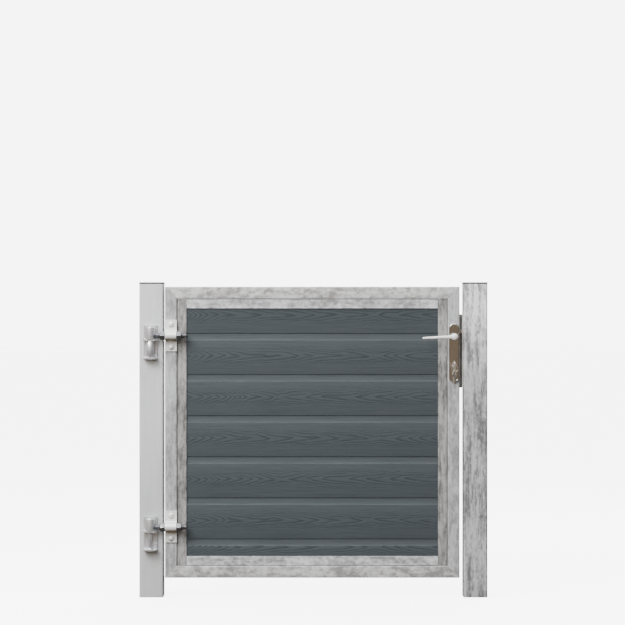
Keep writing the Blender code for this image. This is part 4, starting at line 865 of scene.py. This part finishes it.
def build_bracket(level):
    """The CAD bracket with softened edges, weld runs between its lugs, and its bolt and screw."""
    refinish(f"{level}_bracket", ZINC, 0.0005)
    refinish(f"{level}_bracket_screw", ZINC, 0.0002)
    low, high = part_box(f"{level}_bracket")
    face = high.y - BRACKET_PLATE
    upper_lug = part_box(f"{level}_eye_rod")[0].z - GAP
    for place, side_of_lug in (("upper", upper_lug - BRACKET_PLATE), ("lower", low.z + BRACKET_PLATE)):
        direction = -1.0 if place == "upper" else 1.0
        rows = []
        for step in range(WELD_STEPS + 1):
            share = step / WELD_STEPS
            along = low.x + WELD_INSET + (high.x - low.x - 2 * WELD_INSET) * share
            ripple = 0.82 + 0.18 * abs(math.sin(share * WELD_STEPS * 0.8))
            tail = min(1.0, 12 * share, 12 * (1 - share) + 0.05)
            reach = LUG_WELD * ripple * tail + WELD_BASE
            row = [Vector((along, face + WELD_SINK, side_of_lug - direction * WELD_SINK))]
            for corner in range(5):
                angle = math.radians(90.0 * corner / 4)
                row.append(Vector((along, face - reach * math.cos(angle),
                                   side_of_lug + direction * reach * math.sin(angle))))
            rows.append(row)
        finish_piece(f"{level}_bracket_{place}_weld", skin(rows), "posts", ZINC, (), 60.0)
    node = f"{level}_bracket_bolt"
    low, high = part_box(node)
    across = (low.x + high.x) / 2
    up = (low.z + high.z) / 2
    made = hex_head((across, 0.0, up), high.z - low.z, face - GAP, low.y)
    finish_piece(f"{node}_fine", made, "posts", ZINC, (node,), 30.0)


def hex_head(centre, flats, under, front):
    """A hexagon head with a washer face, and the shank behind it."""
    middle = Vector(centre)
    chamfer = 0.09 * flats
    half = chamfer * 0.5
    outlines = [(ring_of(flats * 0.2, HEX_SIDES), front + HEX_DISH),
                (ring_of(flats * 0.36, HEX_SIDES), front + HEX_DISH / 2),
                (hexagon(flats, 0.90, 0.0), front),
                (hexagon(flats, HEX_FACE, 0.0), front + HEX_DISH / 2),
                (hexagon(flats, HEX_FACE, half), front + half),
                (hexagon(flats, HEX_FACE, chamfer), front + chamfer),
                (hexagon(flats, HEX_FACE, flats), under),
                (ring_of(HEX_SHANK, HEX_SIDES), under),
                (ring_of(HEX_SHANK, HEX_SIDES), under + HEX_SHANK_LENGTH)]
    return skin([[at(point, along, "Y") + middle for point in outline] for outline, along in outlines])


# ---- lock -------------------------------------------------------------------------------------------
def plate_outline(middle, base, top, width, steps):
    radius = width / 2
    over = arc((middle, top - radius), radius, 0.0, 180.0, steps)
    return over + arc((middle, base + radius), radius, 180.0, 360.0, steps)


def build_plate(node, side):
    """A long plate with a wide rounded rim round a flat face."""
    low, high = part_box(node)
    near = high.y if side < 0 else low.y
    far = low.y if side < 0 else high.y
    width = high.x - low.x
    middle = (low.x + high.x) / 2
    rows = []
    levels = [(0.0, near)]
    for step in range(RIM_STEPS + 1):
        angle = math.radians(90.0 * step / RIM_STEPS)
        levels.append((RIM * (1.0 - math.cos(angle)), far - side * RIM * (1.0 - math.sin(angle))))
    levels.append((RIM + RIM_SHOULDER, far - side * PLATE_DISH))
    for inset, depth in levels:
        outline = plate_outline(middle, low.z + inset, high.z - inset, width - 2 * inset, PLATE_STEPS)
        rows.append([Vector((across, depth, up)) for across, up in outline])
    finish_piece(f"{node}_fine", skin(rows), "leaf", STAINLESS, (node,), 30.0)


NECK_PROFILE = ((0.90, 0.0), (1.0, 0.0006), (1.0, 0.004), (0.93, 0.010), (0.90, 0.016), (0.93, 0.021),
                (0.98, 0.025), (0.98, 0.0295), (0.90, 0.0335), (0.70, 0.0365), (0.40, 0.0378),
                (0.12, 0.0382))


def build_lever(node, side):
    """A round neck with a slim tapered grip, as one piece.

    The neck's profile is (share of its radius, distance from the plate).
    """
    low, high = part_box(node)
    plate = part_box("front_plate" if side < 0 else "rear_plate")
    face = plate[0].y - GAP if side < 0 else plate[1].y + GAP
    centre_y = (low.y if side < 0 else high.y) - side * GRIP_INSET
    rows = []
    for share, reach in NECK_PROFILE:
        ring = ring_of(NECK_RADIUS * share, NECK_SIDES)
        rows.append([Vector((LEVER_AXIS.x + across, face + side * reach, LEVER_AXIS.z + up))
                     for across, up in ring])
    hub = skin(rows)
    grip = []
    start = LEVER_AXIS.x + GRIP_START
    end = low.x + GRIP_TIP
    for step in range(GRIP_STEPS + 1):
        share = step / GRIP_STEPS
        along = start + (end - start) * share
        root = max(0.0, 1.0 - share * 5.0)
        tall = GRIP_TALL - GRIP_TALL_LOSS * share + GRIP_ROOT_GAIN * root ** 1.6
        deep = GRIP_DEEP - GRIP_DEEP_LOSS * share
        drop = LEVER_DROP * share ** 1.3
        grip.append(grip_ring(along, centre_y, LEVER_AXIS.z - drop, deep, tall))
    tip_deep = GRIP_DEEP - GRIP_DEEP_LOSS
    tip_tall = GRIP_TALL - GRIP_TALL_LOSS
    for past, shrink in ((0.0014, 0.93), (0.0025, 0.76), (0.0032, 0.5), (GRIP_TIP, 0.2)):
        grip.append(grip_ring(end - past, centre_y, LEVER_AXIS.z - LEVER_DROP,
                              tip_deep * shrink, tip_tall * shrink))
    arm = skin(grip)
    mesh = bpy.data.meshes.new("arm")
    arm.to_mesh(mesh)
    arm.free()
    hub.from_mesh(mesh)
    bpy.data.meshes.remove(mesh)
    finish_piece(f"{node}_fine", hub, "levers", SATIN_GRIP, (node,), 60.0)


def grip_ring(along, middle, height, deep, tall):
    """A rounded-oblong section across the grip."""
    ring = []
    for side in range(GRIP_SIDES):
        angle = 2 * math.pi * side / GRIP_SIDES
        across = math.copysign(abs(math.cos(angle)) ** 0.85, math.cos(angle))
        up = math.copysign(abs(math.sin(angle)) ** 0.85, math.sin(angle))
        ring.append(Vector((along, middle + deep / 2 * across, height + tall / 2 * up)))
    return ring


def dress_lock():
    build_plate("front_plate", -1)
    build_plate("rear_plate", 1)
    build_lever("front_lever", -1)
    build_lever("rear_lever", 1)
    fine_edge = 0.0002
    refinish("plate_upper_screw", STAINLESS, fine_edge)
    # painted shade: the forend is coloured dark for the shadow it stands in
    refinish("lock_forend", STEEL_PAINTED_SHADE, 0.0005)
    refinish("strike_plate", PLAIN_STEEL, 0.0004)
    refinish("cylinder_body", NICKEL, 0.0003)
    refinish("latch_bolt", NICKEL, 0.0004)
    for node in ("plate_lower_screw", "cylinder_plug", "cylinder_rear_plug", "key", "key_ring", "spare_key",
                 "deadbolt"):
        refinish(node, NICKEL, fine_edge)
    refinish("latch_spring", SPRING)
    for node in ("lock_case", "lock_case_cover", "spindle", "lock_follower"):
        refinish(node, ZINC, fine_edge)


# ---- stage ------------------------------------------------------------------------------------------
def build_floor():
    """A wide pale floor, lit by its own faint glow so that it stays pale out to the horizon."""
    made = bmesh.new()
    bmesh.ops.create_circle(made, cap_ends=True, segments=96, radius=FLOOR_RADIUS)
    mesh = bpy.data.meshes.new("studio_floor")
    made.to_mesh(mesh)
    made.free()
    floor = bpy.data.objects.new("studio_floor", mesh)
    bpy.context.scene.collection.objects.link(floor)
    material, tree, shader, place = start_finish("studio_floor", 0.0)
    grain = noise(tree, place, (3.0, 3.0, 3.0), detail=3.0, roughness=0.5)
    colour = blend_colours(tree, grain, (0.90, 0.90, 0.90), (0.94, 0.94, 0.935))
    tree.links.new(colour, shader.inputs["Base Color"])
    tree.links.new(colour, shader.inputs["Emission Color"])
    shader.inputs["Emission Strength"].default_value = FLOOR_GLOW
    shader.inputs["Roughness"].default_value = 0.9
    mesh.materials.append(material)
    floor.visible_diffuse = False
    floor.visible_glossy = False
    floor.location.z = -FLOOR_DROP
    floor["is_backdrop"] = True


def build_world():
    """A bright backdrop for the eye; for the light, a sky over brown ground, dimmer to the right."""
    world = bpy.data.worlds.new("studio")
    bpy.context.scene.world = world
    world.use_nodes = True
    tree = world.node_tree
    background = tree.nodes["Background"]
    direction = tree.nodes.new("ShaderNodeTexCoord").outputs["Generated"]
    rightward, _, upward = parts_of(tree, direction)
    near_ground = (0.07, 0.055, 0.025)
    far_ground = (0.32, 0.25, 0.18)
    sky = (1.6, 1.66, 1.74)
    ground = blend_colours(tree, remap(tree, upward, -0.45, -0.08), near_ground, far_ground)
    light = blend_colours(tree, remap(tree, upward, 0.03, 0.55), ground, sky)
    shade = remap(tree, rightward, -0.1, 0.8, 1.0, 0.25)
    light = blend_colours(tree, shade, (0.0, 0.0, 0.0), light)
    path = tree.nodes.new("ShaderNodeLightPath")
    colour = blend_colours(tree, path.outputs["Is Camera Ray"], light, (BACKDROP_GLOW,) * 3)
    tree.links.new(colour, background.inputs["Color"])


LIGHT_TARGET = Vector((0.0, 0.0, 0.5))


def area_light(name, place, size, power, colour):
    data = bpy.data.lights.new(name, "AREA")
    data.shape = "RECTANGLE"
    data.size = size[0]
    data.size_y = size[1]
    data.energy = power
    data.color = colour
    light = bpy.data.objects.new(name, data)
    bpy.context.scene.collection.objects.link(light)
    light.location = place
    light.rotation_mode = "QUATERNION"
    light.rotation_quaternion = (LIGHT_TARGET - Vector(place)).to_track_quat("-Z", "Y")
    return light


def build_lights():
    """Softboxes with their places and sizes in metres and their power in watts."""
    warm = (1.0, 0.995, 0.985)
    white = (1.0, 1.0, 1.0)
    cool = (0.97, 0.985, 1.0)
    area_light("front_softbox", place=(-2.2, -3.2, 3.4), size=(2.6, 2.0), power=235.0, colour=warm)
    fill = area_light("left_fill", place=(-2.1, -4.2, 1.9), size=(2.2, 1.6), power=95.0, colour=warm)
    fill.visible_glossy = False
    area_light("top_softbox", place=(0.0, -0.4, 3.6), size=(3.0, 2.4), power=70.0, colour=white)
    area_light("rear_softbox", place=(1.6, 3.4, 3.0), size=(2.4, 2.0), power=110.0, colour=cool)


def build_camera():
    low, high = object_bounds()
    data = bpy.data.cameras.new("camera")
    data.sensor_width = SENSOR
    data.lens = SENSOR * CAMERA_DISTANCE / VIEW_WIDTH
    camera = bpy.data.objects.new("camera", data)
    bpy.context.scene.collection.objects.link(camera)
    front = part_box("lock_stile")[0].y
    camera.location = ((low.x + high.x) / 2 - CAMERA_ASIDE, front - CAMERA_DISTANCE, CAMERA_HEIGHT)
    camera.rotation_euler = (math.pi / 2, 0.0, 0.0)
    bpy.context.scene.camera = camera


# ---- the whole gate ---------------------------------------------------------------------------------
dress_frame()
build_caps()
build_boards()
for hinge_level in ("upper", "lower"):
    build_bracket(hinge_level)
    build_pin(hinge_level)
    build_eye_rod(hinge_level)
    build_nuts(hinge_level)
    build_strap(hinge_level)
    build_strap_bolts(hinge_level)
dress_lock()
build_floor()
build_world()
build_lights()
build_camera()
